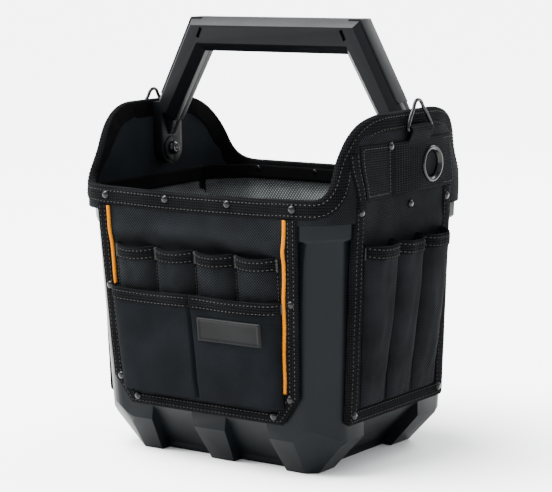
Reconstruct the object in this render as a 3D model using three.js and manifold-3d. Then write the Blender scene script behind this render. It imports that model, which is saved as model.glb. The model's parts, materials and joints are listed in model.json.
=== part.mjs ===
// Open tool bucket organizer: a moulded tub with a fabric collar, padded side ears, pocket panels on
// all four sides and a swinging trapezoid handle. Units are millimetres, +Z is up, the front (patch
// side) faces -Y, and the origin is under the middle of the object on the surface it stands on.
import * as THREE from 'three';
import { ConvexGeometry } from 'three/addons/geometries/ConvexGeometry.js';
import { mergeVertices } from 'three/addons/utils/BufferGeometryUtils.js';
import Module from 'manifold-3d';

const manifoldLibrary = await Module();
manifoldLibrary.setup();

// ---------------------------------------------------------------- driving dimensions

const CLEAR = 0.3; // gap kept between pieces that touch

// Tub: a tapered box with chamfered corners, given at two heights.
const TUB = {
  low: { z: 35, x: 140.6, front: 112.8, rear: 104 },
  high: { z: 227, x: 147.7, front: 120.8, rear: 116 },
  cornerLeg: 24,
  wall: 3,
  rimStep: 5.5,
  rimWall: 2.5,
  rimLeg: 33,
  rimTop: 261.5,
  floorUnder: 6,
  floorTop: 11,
};
// Feet: the lower body slopes in from the tub's lower edge to this footprint on the ground.
const FOOT = { x: 108, front: 92, rear: 83, cornerX: 98, kiteZ: 49.5, kiteRun: 17, baySlopeTop: 46 };
const FRONT_BAYS = { centre: 45, halfTop: 24, halfBottom: 31 };
const SIDE_BAY = { y: -8, halfTop: 47, halfBottom: 50 };

const LINER = { gap: 3.2, thickness: 1.2, stepLow: 231, stepHigh: 237, top: 261 };
const LINER_BAND = { low: 240, thickness: 0.8 };

// Collar: fabric loop around the rim that rises into an ear on each side.
const COLLAR = { x: 157.6, front: 130.2, rear: 126.4, leg: 34.5, low: 243, bandLow: 248.5, bandTop: 265.5 };
const LAYER = { outer: 2.2, board: 2.7, lining: 1.2 };
const EAR = {
  y: 3,
  top: 338.5,
  flat: 36,
  shoulderY: 94,
  shoulderZ: 309,
  endY: 124,
  binding: 17,
  splitX: 129.5,
};
// Above the rim each ear stays flat in the middle and its two flanks bend inwards.
const BEND = { low: 264, high: 300, front: -38, rear: 60, x: 146, frontEnd: -98, rearEnd: 101 };
const BINDING = 0.9; // thickness of folded edge tape

// Pocket panels: the back plane of each, as distance from the middle and lean, at the panel's bottom.
const PANEL = { bottom: 52, thickness: 1.8 };
const FACES = {
  front: { out: [0, -1], distance: 116, slope: 0.0597, along: 0 },
  back: { out: [0, 1], distance: 107.6, slope: 0.08, along: 0 },
  right: { out: [1, 0], distance: 143.7, slope: 0.055, along: -7 },
  left: { out: [-1, 0], distance: 143.7, slope: 0.055, along: 7 },
};
const FRONT_PANEL = {
  top: 250,
  tapeTop: 248.2,
  tape: 11.2,
  topHalf: 118.5,
  lowHalf: 111,
  lowV: 26,
  cornerHalf: 91,
};
const SIDE_PANEL = {
  top: 263.2,
  tapeTop: 261.7,
  tape: 15,
  topHalf: 82,
  lowHalf: 82,
  lowV: 8,
  cornerHalf: 75,
};
const POCKET_WALL = 1.6;
const TOOL_POCKETS = { pitch: 48, count: 4, low: 120, top: 160, depthLow: 7, depthTop: 10.5 };
const POUCHES = { pitch: 94, count: 2, low: 17, top: 119, depthLow: 6, depthTop: 13.5 };
const SIDE_POCKETS = { pitch: 44.5, low: 16, top: [160, 162, 164], depthLow: 3, depthTop: 11 };
const PIPING = { r: 1.5, topU: 105.3, lowU: 96.3, topV: 196, lowV: 31 };
const PATCH = { u: 44.5, v: 86.5, width: 75, height: 22, thickness: 1.6 };

// Gear on the outside of each ear (y and z of centres).
const WEB_BAND = { y0: -74, y1: 78, z0: 262, z1: 312, thickness: 2.4 };
const GROMMET = { y: 35, z: 286, outerR: 17.5, holeR: 12.2, lip: 2.4 };
const RING = { y: 11, z: 321, x: 163.2, wireR: 2, halfBase: 21, height: 28, lean: 2, topR: 8, tabHalf: 17.6 };

// Handle: a trapezoid frame with octagonal section, and a round boss at the foot of each leg.
const HANDLE = {
  y: 11,
  depth: 32,
  chamfer: 9,
  gripTop: 424,
  gripLow: 390,
  topHalf: 103,
  innerHalf: 86.5,
  kneeX: 149.2,
  kneeZ: 337,
  legInnerX: 128,
  legLowZ: 318,
  wall: 3,
};
const LEG_FOOT = { inner: 138, outer: 149.3, r: 16, topZ: 345 };
const LEG_TOE = { topZ: 322, lowZ: 303, topHalf: 8, lowHalf: 5, overlap: 1 };
const GRIP_SLOT = { x: 87, z: 408.5, half: 1.9, halfLength: 5.5, slant: 26, depth: 3.4 };
const PIVOT = {
  z: 288.7,
  shankR: 4,
  headR: 7,
  headHeight: 4.5,
  socketR: 2.4,
  socketDepth: 2,
  bossR: 12.5,
  bossRise: 1.4,
  grip: 16.4,
};
const TRIM = { depth: 18, thickness: 1.8, wrap: 14 };

// Rivets.
const RIVET = { capR: 3.9, shankR: 1.6, capHeight: 1.9, z: 258, pitch: 74, shift: 4 };
const RIVET_SIDES = 10;
const PANEL_RIVET = { u: 109.5, v: 117 };

// ---------------------------------------------------------------- materials

function material(colour, roughness, metalness = 0) {
  return new THREE.MeshStandardMaterial({ color: colour, roughness, metalness });
}

const MATERIALS = {
  tub: material(0x3a3f43, 0.5),
  handle: material(0x2b2f33, 0.45),
  fabric: material(0x1d2023, 0.95),
  tape: material(0x141618, 0.9),
  pouch: material(0x23272b, 0.95),
  liner: material(0x6f7274, 0.95),
  lining: material(0x2a2d30, 0.85),
  board: material(0x18191b, 0.7),
  piping: material(0xf59b1e, 0.6),
  patch: material(0x26282b, 0.5),
  web: material(0x1f2225, 0.9),
  metal: material(0x3c3f43, 0.35, 0.9),
  steel: material(0x8a8d90, 0.35, 1),
};

// ---------------------------------------------------------------- solids

function solid(geometry) {
  const bare = geometry.clone();
  bare.deleteAttribute('normal');
  bare.deleteAttribute('uv');
  const merged = mergeVertices(bare, 1e-4);
  const index = merged.index.array;
  const triangles = [];
  for (let i = 0; i < index.length; i += 3) {
    const [a, b, c] = [index[i], index[i + 1], index[i + 2]];
    if (a !== b && b !== c && c !== a) triangles.push(a, b, c);
  }
  const body = toManifold(merged.attributes.position.array, triangles);
  if (body.volume() > 0) return body;
  return toManifold(merged.attributes.position.array, triangles.reverse());
}

function toManifold(positions, triangles) {
  return new manifoldLibrary.Manifold(new manifoldLibrary.Mesh({
    numProp: 3,
    vertProperties: new Float32Array(positions),
    triVerts: new Uint32Array(triangles),
  }));
}

function join(bodies) {
  return bodies.reduce((all, body) => all.add(body));
}

function cut(body, tools) {
  return tools.reduce((rest, tool) => rest.subtract(tool), body);
}

function addPiece(parent, name, body, look) {
  const faceted = body.getMesh();
  const geometry = new THREE.BufferGeometry();
  geometry.setAttribute('position', new THREE.BufferAttribute(faceted.vertProperties, 3));
  geometry.setIndex(new THREE.BufferAttribute(faceted.triVerts, 1));
  geometry.computeVertexNormals();
  const mesh = new THREE.Mesh(geometry, look);
  mesh.name = name;
  parent.add(mesh);
  return mesh;
}

function lerp(a, b, t) {
  return a + (b - a) * t;
}

function box(x0, x1, y0, y1, z0, z1) {
  const geometry = new THREE.BoxGeometry(x1 - x0, y1 - y0, z1 - z0);
  return solid(geometry.translate((x0 + x1) / 2, (y0 + y1) / 2, (z0 + z1) / 2));
}

function hull(points) {
  return solid(new ConvexGeometry(points.map(([x, y, z]) => new THREE.Vector3(x, y, z))));
}

// A flat outline extruded along local z from low to high.
function plate(points, low, high) {
  const shape = new THREE.Shape(points.map(([x, y]) => new THREE.Vector2(x, y)));
  const geometry = new THREE.ExtrudeGeometry(shape, { depth: high - low, bevelEnabled: false });
  return geometry.translate(0, 0, low);
}

// Outline in (y, z) extruded along x.
const ALONG_X = new THREE.Matrix4().makeBasis(
  new THREE.Vector3(0, 1, 0),
  new THREE.Vector3(0, 0, 1),
  new THREE.Vector3(1, 0, 0),
);
// Outline in (x, z) extruded along -y.
const ALONG_Y = new THREE.Matrix4().makeBasis(
  new THREE.Vector3(1, 0, 0),
  new THREE.Vector3(0, 0, 1),
  new THREE.Vector3(0, -1, 0),
);

function rodX(y, z, r, x0, x1, sides = 16) {
  const geometry = new THREE.CylinderGeometry(r, r, x1 - x0, sides);
  return solid(geometry.rotateZ(Math.PI / 2).translate((x0 + x1) / 2, y, z));
}

function rodZ(x, y, r, z0, z1, sides = 16) {
  const geometry = new THREE.CylinderGeometry(r, r, z1 - z0, sides);
  return solid(geometry.rotateX(Math.PI / 2).translate(x, y, (z0 + z1) / 2));
}

// ---------------------------------------------------------------- tub

const CORNER_RATE = 2 - Math.SQRT2; // growth of a corner's leg per unit of offset
const RIM_LEAN = 0.037;

function octagon(x, front, rear, leg) {
  return [
    [x, leg - front],
    [x, rear - leg],
    [x - leg, rear],
    [leg - x, rear],
    [-x, rear - leg],
    [-x, leg - front],
    [leg - x, -front],
    [x - leg, -front],
  ];
}

function section(z, grow = 0) {
  const t = (z - TUB.low.z) / (TUB.high.z - TUB.low.z);
  const side = (key) => lerp(TUB.low[key], TUB.high[key], t) + grow;
  const leg = TUB.cornerLeg + grow * CORNER_RATE;
  return octagon(side('x'), side('front'), side('rear'), leg).map(([x, y]) => [x, y, z]);
}

function frustum(z0, grow0, z1, grow1) {
  return hull([...section(z0, grow0), ...section(z1, grow1)]);
}

// The rim has broader corners than the body below it.
function rimSection(z, grow) {
  const corner = [TUB.high.x, TUB.high.front, TUB.high.rear].map((value) => value + grow);
  const lean = (z - TUB.high.z) * RIM_LEAN;
  const leg = TUB.rimLeg + (grow - TUB.rimStep) * CORNER_RATE;
  return octagon(...corner.map((value) => value + lean), leg).map(([x, y]) => [x, y, z]);
}

function rimFrustum(z0, z1, grow) {
  return hull([...rimSection(z0, grow), ...rimSection(z1, grow)]);
}

// The body ends below in a kite facet under each corner and slopes in to the footprint.
function tubBody() {
  const points = section(TUB.high.z);
  const { x, front, rear } = TUB.low;
  for (const side of [-1, 1]) {
    for (const [edge, foot, way] of [[-front, -FOOT.front, 1], [rear, FOOT.rear, -1]]) {
      const kiteEdge = x - TUB.cornerLeg;
      points.push([side * (kiteEdge - FOOT.kiteRun), edge, TUB.low.z]);
      points.push([side * kiteEdge, edge - way * 0.6, FOOT.kiteZ]);
      points.push([side * x, edge + way * TUB.cornerLeg, TUB.low.z]);
      points.push([side * FOOT.cornerX, foot, 0]);
      points.push([side * FOOT.x, foot + way * 8, 0]);
    }
  }
  return hull(points);
}

// Wedge between two feet on the front or rear: a recessed slope with the feet's flanks leaning.
function endBay(centre, way, edge) {
  const y = (inset) => way * (edge - inset);
  const slope = FOOT.baySlopeTop;
  const points = [];
  for (const side of [-1, 1]) {
    const top = centre + side * FRONT_BAYS.halfTop;
    const low = centre + side * FRONT_BAYS.halfBottom;
    points.push([top, y(-12), slope + 4], [top, y(-1), slope + 4], [low, y(-12), -4]);
    points.push([low, y(32), TUB.floorUnder], [low, y(32), -4]);
  }
  return hull(points);
}

function sideBay(side) {
  const points = [];
  for (const end of [-1, 1]) {
    const top = SIDE_BAY.y + end * SIDE_BAY.halfTop;
    const low = SIDE_BAY.y + end * SIDE_BAY.halfBottom;
    const x = TUB.low.x;
    points.push([side * (x + 12), top, 50], [side * (x + 1), top, 50], [side * (x + 12), low, -4]);
    points.push([side * (FOOT.x - 11), low, TUB.floorUnder], [side * (FOOT.x - 11), low, -4]);
  }
  return hull(points);
}

function tubShell() {
  const { rimStep, rimWall, wall, rimTop, high } = TUB;
  const ramp = hull([...section(high.z - 1, 0.4), ...rimSection(high.z + 2, rimStep)]);
  const rim = ramp.add(rimFrustum(high.z + 2, rimTop, rimStep));
  const inside = rimStep - rimWall;
  const inset = TUB.floorTop;
  const floorSection = octagon(FOOT.x - 14, TUB.low.front - 35, TUB.low.rear - 35, 12);
  const lowCavity = hull([...section(54, -wall), ...floorSection.map(([x, y]) => [x, y, inset])]);
  const cavity = join([
    lowCavity,
    frustum(54, -wall, high.z + 1, -wall),
    hull([...section(high.z + 1, -wall), ...rimSection(high.z + 6, inside)]),
    rimFrustum(high.z + 6, rimTop + 5, inside),
  ]);
  const bays = [sideBay(-1), sideBay(1)];
  for (const centre of [-FRONT_BAYS.centre, FRONT_BAYS.centre]) {
    bays.push(endBay(centre, -1, TUB.low.front), endBay(centre, 1, TUB.low.rear));
  }
  const underside = hull([
    ...octagon(FOOT.x - 20, FOOT.front - 22, FOOT.rear - 22, 12).map(([x, y]) => [x, y, -4]),
    ...octagon(FOOT.x - 24, FOOT.front - 26, FOOT.rear - 26, 12).map(([x, y]) => [x, y, TUB.floorUnder]),
  ]);
  return cut(tubBody().add(rim), [...bays, underside, cavity]);
}

function linerShell() {
  const { gap, thickness, stepLow, stepHigh, top } = LINER;
  const lowGrow = -TUB.wall - gap;
  const highGrow = TUB.rimStep - TUB.rimWall - CLEAR;
  const floor = octagon(FOOT.x - 18, TUB.low.front - 39, TUB.low.rear - 39, 12);
  const floorZ = TUB.floorTop + CLEAR;
  const bag = (inset, lift, over) => join([
    hull([
      ...section(58, lowGrow - inset),
      ...floor.map(([x, y]) => [x - Math.sign(x) * inset, y - Math.sign(y) * inset, floorZ + lift]),
    ]),
    frustum(58, lowGrow - inset, stepLow, lowGrow - inset),
    hull([...section(stepLow, lowGrow - inset), ...rimSection(stepHigh, highGrow - inset)]),
    rimFrustum(stepHigh, top + over, highGrow - inset),
  ]);
  return bag(0, 0, 0).subtract(bag(thickness, thickness, 2));
}

function linerBand() {
  const outer = TUB.rimStep - TUB.rimWall - CLEAR * 2 - LINER.thickness;
  const inner = outer - LINER_BAND.thickness;
  const wide = rimFrustum(LINER_BAND.low, LINER.top, outer);
  return wide.subtract(rimFrustum(LINER_BAND.low - 2, LINER.top + 2, inner));
}

// ---------------------------------------------------------------- collar and ears

// Half of an ear's outline, from the flat top down to the band, moved out by `grow`.
function earEdge(grow) {
  const path = new THREE.CurvePath();
  const at = (y, z) => new THREE.Vector2(y, z);
  const { top, flat, shoulderY, shoulderZ, endY } = EAR;
  path.add(new THREE.CubicBezierCurve(
    at(flat, top),
    at(flat + 30, top),
    at(shoulderY - 12, shoulderZ + 18),
    at(shoulderY, shoulderZ),
  ));
  path.add(new THREE.CubicBezierCurve(
    at(shoulderY, shoulderZ),
    at(shoulderY + 9, shoulderZ - 13),
    at(endY - 10, COLLAR.bandTop + 3),
    at(endY, COLLAR.bandTop),
  ));
  const edge = path.getPoints(7);
  return edge.map((point, i) => {
    const before = edge[Math.max(i - 1, 0)];
    const after = edge[Math.min(i + 1, edge.length - 1)];
    const along = after.clone().sub(before).normalize();
    return [point.x - along.y * grow, point.y + along.x * grow];
  });
}

// Region under the collar's top line, as a solid that spans the object along x.
function underEdge(grow, low) {
  const half = earEdge(grow);
  const end = COLLAR.bandTop + grow;
  const front = half.map(([y, z]) => [EAR.y - y, z]).reverse();
  const rear = half.map(([y, z]) => [EAR.y + y, z]);
  const points = [[-150, low], [-150, end], ...front, ...rear, [150, end], [150, low]].reverse();
  return solid(plate(points, -200, 200).applyMatrix4(ALONG_X));
}

// The collar's plan, given round the object: straight sides at the rim, bent ones in the ears.
function collarPlan(grow, bent) {
  const x = COLLAR.x + grow;
  const front = COLLAR.front + grow;
  const rear = COLLAR.rear + grow;
  const leg = COLLAR.leg + grow * CORNER_RATE;
  const flank = bent ? BEND.x + grow : x;
  const frontEnd = bent ? BEND.frontEnd - grow * CORNER_RATE : leg - front;
  const rearEnd = bent ? BEND.rearEnd + grow * CORNER_RATE : rear - leg;
  const half = [
    [x - leg, -front],
    [flank, frontEnd],
    [x, BEND.front],
    [x, BEND.rear],
    [flank, rearEnd],
    [x - leg, rear],
  ];
  return [...half, ...half.map(([u, y]) => [-u, y]).reverse()];
}

function loopPrism(grow, low, high) {
  const layer = (z, bent) => collarPlan(grow, bent).map(([x, y]) => [x, y, z]);
  const lofts = [
    hull([...layer(low, false), ...layer(Math.min(high, BEND.low), false)]),
  ];
  if (low >= BEND.low) lofts.pop();
  if (high > BEND.low) {
    lofts.push(hull([...layer(BEND.low, false), ...layer(BEND.high, true)]));
    lofts.push(hull([...layer(BEND.high, true), ...layer(Math.max(high, BEND.high + 1), true)]));
  }
  return join(lofts).intersect(box(-200, 200, -200, 200, low, high));
}

function loopWall(outer, inner, low, high) {
  return loopPrism(outer, low, high).subtract(loopPrism(inner, low - 1, high + 1));
}

function sideOnly(side, body) {
  const far = side * 200;
  const near = side * EAR.splitX;
  return body.intersect(box(Math.min(near, far), Math.max(near, far), -200, 200, 0, 500));
}

function endOnly(way, body) {
  const reach = EAR.splitX - CLEAR;
  return body.intersect(box(-reach, reach, way < 0 ? -200 : 60, way < 0 ? -60 : 200, 0, 500));
}

const BOARD_OUT = -LAYER.outer - CLEAR;
const LINING_OUT = BOARD_OUT - LAYER.board - CLEAR;
const EAR_IN = LINING_OUT - LAYER.lining;

const EAR_REACH = 400; // a height well above the ears

// The outer layer makes room below for the side panel.
function earOuter(side) {
  const half = SIDE_PANEL.topHalf + CLEAR;
  const middleY = -FACES.right.along;
  const panelRoom = box(-200, 200, -half - middleY, half - middleY, 0, SIDE_PANEL.top + CLEAR);
  const layer = loopWall(0, -LAYER.outer, COLLAR.low, EAR_REACH).intersect(underEdge(0, 0));
  return sideOnly(side, layer.subtract(panelRoom));
}

function earInner(side, outer, thickness) {
  const low = TUB.rimTop + CLEAR;
  return sideOnly(side, loopWall(outer, outer - thickness, low, EAR_REACH).intersect(underEdge(0, 0)));
}

function earBinding(side) {
  const tape = loopWall(CLEAR + BINDING, EAR_IN - CLEAR - BINDING, COLLAR.bandLow, EAR_REACH);
  const strip = underEdge(CLEAR + BINDING, 0).subtract(underEdge(-EAR.binding, 0));
  const ear = loopWall(CLEAR, EAR_IN - CLEAR, 0, EAR_REACH).intersect(underEdge(CLEAR, 0));
  const tubRoom = rimFrustum(200, TUB.rimTop + CLEAR, TUB.rimStep + CLEAR);
  const room = webSlab(0, WEB_ROOM, CLEAR);
  return sideOnly(side, cut(tape.intersect(strip), [ear, tubRoom, room]));
}

// Slab over both ears' faces, as high and long as the web band grown by `margin`.
const WEB_ROOM = 20;

function webSlab(inner, outer, margin) {
  const { y0, y1, z0, z1 } = WEB_BAND;
  const outline = box(-200, 200, y0 - margin, y1 + margin, z0 - margin, z1 + margin);
  return loopWall(outer, inner, z0 - 5, z1 + 5).intersect(outline);
}

function rimBinding(way) {
  const top = COLLAR.bandTop;
  const outside = loopWall(CLEAR + BINDING, CLEAR, COLLAR.bandLow, top);
  const cap = loopWall(CLEAR + BINDING, -8.2, TUB.rimTop + CLEAR * 2, top).subtract(
    loopWall(CLEAR, -LAYER.outer - CLEAR, 0, top - 2),
  );
  return endOnly(way, outside.add(cap));
}

// The collar's end strips make room for the panel that hangs in front of them.
function collarEnd(way) {
  const half = FRONT_PANEL.topHalf + CLEAR;
  const panelRoom = box(-half, half, -200, 200, 0, FRONT_PANEL.top + CLEAR);
  return endOnly(way, loopWall(0, -1.7, COLLAR.low, COLLAR.bandTop - 2.3).subtract(panelRoom));
}

// ---------------------------------------------------------------- pocket panels

function faceMatrix(face) {
  const out = new THREE.Vector3(face.out[0], face.out[1], 0);
  const up = new THREE.Vector3(0, 0, 1);
  const lean = Math.atan(face.slope);
  const v = up.clone().multiplyScalar(Math.cos(lean)).addScaledVector(out, Math.sin(lean));
  const w = out.clone().multiplyScalar(Math.cos(lean)).addScaledVector(up, -Math.sin(lean));
  const u = v.clone().cross(w);
  const centre = out.clone().multiplyScalar(face.distance).addScaledVector(u, face.along);
  centre.z = PANEL.bottom;
  return new THREE.Matrix4().makeBasis(u, v, w).setPosition(centre);
}

function faceGroup(parent, face) {
  const group = new THREE.Group();
  faceMatrix(face).decompose(group.position, group.quaternion, group.scale);
  parent.add(group);
  return group;
}

function panelOutline(panel, inset, top) {
  const shift = inset * (Math.SQRT2 - 1);
  const half = [[panel.topHalf - inset, top]];
  if (panel.lowV + shift > inset) {
    half.push([panel.lowHalf - inset, panel.lowV + shift], [panel.cornerHalf - shift, inset]);
  } else {
    half.push([panel.lowHalf - inset, inset]);
  }
  return [...half, ...half.map(([u, v]) => [-u, v]).reverse()].reverse();
}

// Distance up the panel's own slope to a height above the ground.
function upPanel(face, z) {
  return (z - PANEL.bottom) * Math.hypot(1, face.slope);
}

const TAPE_LOW = PANEL.thickness + CLEAR;
const POCKET_BACK = TAPE_LOW + BINDING + CLEAR;

function panelSheet(panel, face, bores) {
  const outline = panelOutline(panel, 0, upPanel(face, panel.top));
  return cut(solid(plate(outline, 0, PANEL.thickness)), bores);
}

function panelTape(panel, face, bores) {
  const height = upPanel(face, panel.tapeTop);
  const outer = solid(plate(panelOutline(panel, 0, height), TAPE_LOW, TAPE_LOW + BINDING));
  const inner = solid(plate(panelOutline(panel, panel.tape, height + 5), 0, 10));
  return cut(outer, [inner, ...bores]);
}

// Outline of a bulging pocket in plan: flat at the panel, rounded in front.
function archOutline(u0, u1, depth, back, roundness) {
  const steps = 10;
  const points = [[u1, back], [u0, back]];
  for (let i = 0; i <= steps; i += 1) {
    const s = -Math.cos((Math.PI * i) / steps);
    const fall = (1 - Math.abs(s) ** roundness) ** (1 / 2);
    points.push([lerp(u0, u1, (s + 1) / 2), Math.max(depth * fall, back + 0.6)]);
  }
  return points;
}

// A pocket body: the arch outline rises from v0 to v1 and deepens on the way up.
function pocketBody(u0, u1, v0, v1, depths, back, roundness) {
  const [depthLow, depthTop] = depths;
  const outline = archOutline(u0, u1, 1, back, roundness);
  const shape = new THREE.Shape(outline.map(([u, w]) => new THREE.Vector2(u, w)));
  const rise = { depth: 1, steps: 4, bevelEnabled: false };
  const geometry = new THREE.ExtrudeGeometry(shape, rise);
  const position = geometry.attributes.position;
  for (let i = 0; i < position.count; i += 1) {
    const t = position.getZ(i);
    const w = position.getY(i);
    const depth = lerp(depthLow, depthTop, Math.sin((t * Math.PI) / 2));
    position.setXYZ(i, position.getX(i), lerp(v0, v1, t), w <= back ? w : w * depth);
  }
  return solid(geometry);
}

function pocketShell(u0, u1, v0, v1, depths, roundness) {
  const outer = pocketBody(u0, u1, v0, v1, depths, 0, roundness);
  const t = POCKET_WALL;
  const slim = depths.map((depth) => depth - t);
  const inner = pocketBody(u0 + t, u1 - t, v0 + t, v1 + 3, slim, -1, roundness);
  return outer.subtract(inner);
}

function pocketRow(row, roundness) {
  const start = (-row.pitch * row.count) / 2;
  const pockets = [];
  for (let i = 0; i < row.count; i += 1) {
    const u0 = start + i * row.pitch + 0.2;
    const u1 = start + (i + 1) * row.pitch - 0.2;
    pockets.push(pocketShell(u0, u1, row.low, row.top, [row.depthLow, row.depthTop], roundness));
  }
  const bridge = box(start + 1, -start - 1, row.low, row.low + POCKET_WALL, 0, 1.4);
  const seams = [];
  for (let i = 1; i < row.count; i += 1) {
    const u = start + i * row.pitch;
    seams.push(box(u - 0.8, u + 0.8, row.low, row.top, 0, 1.2));
  }
  return join([...pockets, bridge, ...seams]);
}

// Piping cord along both edges of a panel's middle field.
function pipingCord(side) {
  const top = new THREE.Vector3(side * PIPING.topU, PIPING.topV, 0);
  const low = new THREE.Vector3(side * PIPING.lowU, PIPING.lowV, 0);
  const length = top.distanceTo(low);
  const cord = new THREE.CylinderGeometry(PIPING.r, PIPING.r, length, 8);
  const turn = Math.atan2(top.x - low.x, top.y - low.y);
  const middle = top.clone().add(low).multiplyScalar(0.5);
  return solid(cord.rotateZ(-turn).translate(middle.x, middle.y, PANEL.thickness + CLEAR + PIPING.r));
}

// ---------------------------------------------------------------- rivets

// Two domed caps joined by a shank; the axis is local z, the outer cap sits on z = 0.
function rivet(grip) {
  const { capR, shankR, capHeight } = RIVET;
  const profile = [
    [0, -grip - capHeight],
    [capR * 0.6, -grip - capHeight * 0.8],
    [capR, -grip - capHeight * 0.25],
    [capR, -grip],
    [shankR, -grip],
    [shankR, 0],
    [capR, 0],
    [capR, capHeight * 0.25],
    [capR * 0.6, capHeight * 0.8],
    [0, capHeight],
  ];
  const lathe = new THREE.LatheGeometry(profile.map(([r, z]) => new THREE.Vector2(r, z)), RIVET_SIDES);
  return lathe.rotateX(Math.PI / 2);
}

// ---------------------------------------------------------------- handle

function handleOutline(inset) {
  const { topHalf, gripTop, kneeX, kneeZ, legInnerX, legLowZ, innerHalf, gripLow } = HANDLE;
  const half = [
    [topHalf - inset * 0.58, gripTop - inset],
    [kneeX - inset * 1.15, kneeZ],
    [kneeX - inset * 1.15, legLowZ + inset],
    [legInnerX + inset * 1.15, legLowZ + inset],
    [innerHalf + inset * 0.58, gripLow + inset],
  ];
  return [...half, ...half.map(([x, z]) => [-x, z]).reverse()].reverse();
}

function frameBlank() {
  const { chamfer, depth, y } = HANDLE;
  const shape = new THREE.Shape(handleOutline(0).map(([x, z]) => new THREE.Vector2(x, z)));
  const settings = {
    depth: depth - 2 * chamfer,
    bevelEnabled: true,
    bevelSize: chamfer * 0.9,
    bevelThickness: chamfer,
    bevelOffset: -chamfer * 0.9,
    bevelSegments: 1,
  };
  const geometry = new THREE.ExtrudeGeometry(shape, settings);
  return solid(geometry.translate(0, 0, chamfer - depth / 2 - y).applyMatrix4(ALONG_Y));
}

function frameHollow() {
  const reach = HANDLE.depth / 2 - HANDLE.wall - 4;
  const shape = plate(handleOutline(HANDLE.wall + 2), -reach - HANDLE.y, reach - HANDLE.y);
  const core = solid(shape.applyMatrix4(ALONG_Y));
  return core.intersect(box(-200, 200, -200, 200, LEG_FOOT.topZ, 500));
}

function legFoot(side) {
  const { inner, outer, r, topZ } = LEG_FOOT;
  const x0 = Math.min(side * inner, side * outer);
  const x1 = Math.max(side * inner, side * outer);
  const disc = rodX(HANDLE.y, PIVOT.z, r, x0, x1, 28);
  const neck = box(x0, x1, HANDLE.y - r, HANDLE.y + r, PIVOT.z, topZ - 8);
  const bossFace = side * (inner - PIVOT.bossRise);
  const boss = rodX(HANDLE.y, PIVOT.z, PIVOT.bossR, Math.min(bossFace, x0), Math.max(bossFace, x1), 28);
  return join([disc, neck, boss]);
}

// Panel let into the outside of a leg and over the corner of the grip.
function trimStrip(side, low, high, half) {
  const { topHalf, gripTop, kneeX, kneeZ } = HANDLE;
  const t = 0.9;
  const lowX = lerp(topHalf, kneeX, t);
  const lowZ = lerp(gripTop, kneeZ, t);
  const points = [
    [topHalf - TRIM.wrap, gripTop + high],
    [topHalf + high * 0.58, gripTop + high],
    [lowX + high * 0.87, lowZ + high * 0.5],
    [lowX + low * 0.87, lowZ + low * 0.5],
    [topHalf + low * 0.58, gripTop + low],
    [topHalf - TRIM.wrap, gripTop + low],
  ].map(([x, z]) => [side * x, z]);
  const geometry = plate(side > 0 ? points.reverse() : points, -half - HANDLE.y, half - HANDLE.y);
  return solid(geometry.applyMatrix4(ALONG_Y));
}

// Pointed lower end of a leg's inner side, over the boss.
function legToe(side) {
  const { y, legInnerX } = HANDLE;
  const { topZ, lowZ, topHalf, lowHalf, overlap } = LEG_TOE;
  const back = LEG_FOOT.inner + overlap;
  const level = (x, half, z) => [
    [side * x, y - half, z],
    [side * x, y + half, z],
    [side * back, y - half, z],
    [side * back, y + half, z],
  ];
  const blunt = level(legInnerX + overlap, topHalf, topZ);
  const tip = level(LEG_FOOT.inner - overlap, lowHalf, lowZ);
  return hull([...blunt, ...tip]);
}

// Short slot in the front of the grip near each corner, slanted like the leg.
function gripSlot(side) {
  const { x, z, half, halfLength, slant, depth } = GRIP_SLOT;
  const slot = box(-half, half, -40, 40, -halfLength, halfLength).rotate([0, side * -slant, 0]);
  const front = HANDLE.y - HANDLE.depth / 2;
  return slot.translate([side * x, 0, z]).intersect(box(-200, 200, -40, front + depth, 0, 500));
}

function handleFrame() {
  const whole = join([frameBlank(), legFoot(-1), legFoot(1), legToe(-1), legToe(1)]);
  const recesses = [-1, 1].map((side) => trimStrip(side, -TRIM.thickness - CLEAR, 3, TRIM.depth / 2 + CLEAR));
  const bores = rodX(HANDLE.y, PIVOT.z, PIVOT.shankR + CLEAR, -200, 200);
  return cut(whole, [...recesses, bores, frameHollow(), gripSlot(-1), gripSlot(1)]);
}

function handleHalf(way) {
  const seam = HANDLE.y + way * CLEAR / 2;
  const keep = way < 0 ? box(-200, 200, -100, seam, 0, 500) : box(-200, 200, seam, 100, 0, 500);
  return handleFrame().intersect(keep);
}

// Button-head bolt from inside the leg's foot into the ear board, along x.
function pivotBolt(side) {
  const head = side * (LEG_FOOT.inner - PIVOT.bossRise - CLEAR);
  const profile = [
    [0, 0],
    [PIVOT.headR * 0.65, 0],
    [PIVOT.headR * 0.92, PIVOT.headHeight * 0.35],
    [PIVOT.headR, PIVOT.headHeight],
    [PIVOT.shankR, PIVOT.headHeight],
    [PIVOT.shankR, PIVOT.headHeight + PIVOT.grip],
    [0, PIVOT.headHeight + PIVOT.grip],
  ];
  const lathe = new THREE.LatheGeometry(profile.map(([r, h]) => new THREE.Vector2(r, h)), 20);
  lathe.rotateZ(side < 0 ? Math.PI / 2 : -Math.PI / 2);
  const start = head - side * PIVOT.headHeight;
  const bolt = solid(lathe.translate(start, HANDLE.y, PIVOT.z));
  const { z, socketR, socketDepth } = PIVOT;
  const socket = rodX(HANDLE.y, z, socketR, start - socketDepth, start + socketDepth, 6);
  return bolt.subtract(socket);
}

function pivotNut(side) {
  const outer = side * (COLLAR.x + BOARD_OUT - 0.1);
  const inner = outer - side * (LAYER.board - 0.2);
  const x0 = Math.min(inner, outer);
  const x1 = Math.max(inner, outer);
  const hex = rodX(HANDLE.y, PIVOT.z, PIVOT.shankR + 3.4, x0, x1, 6);
  return hex.subtract(rodX(HANDLE.y, PIVOT.z, PIVOT.shankR + CLEAR, x0 - 1, x1 + 1));
}

// ---------------------------------------------------------------- gear on the ears

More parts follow.
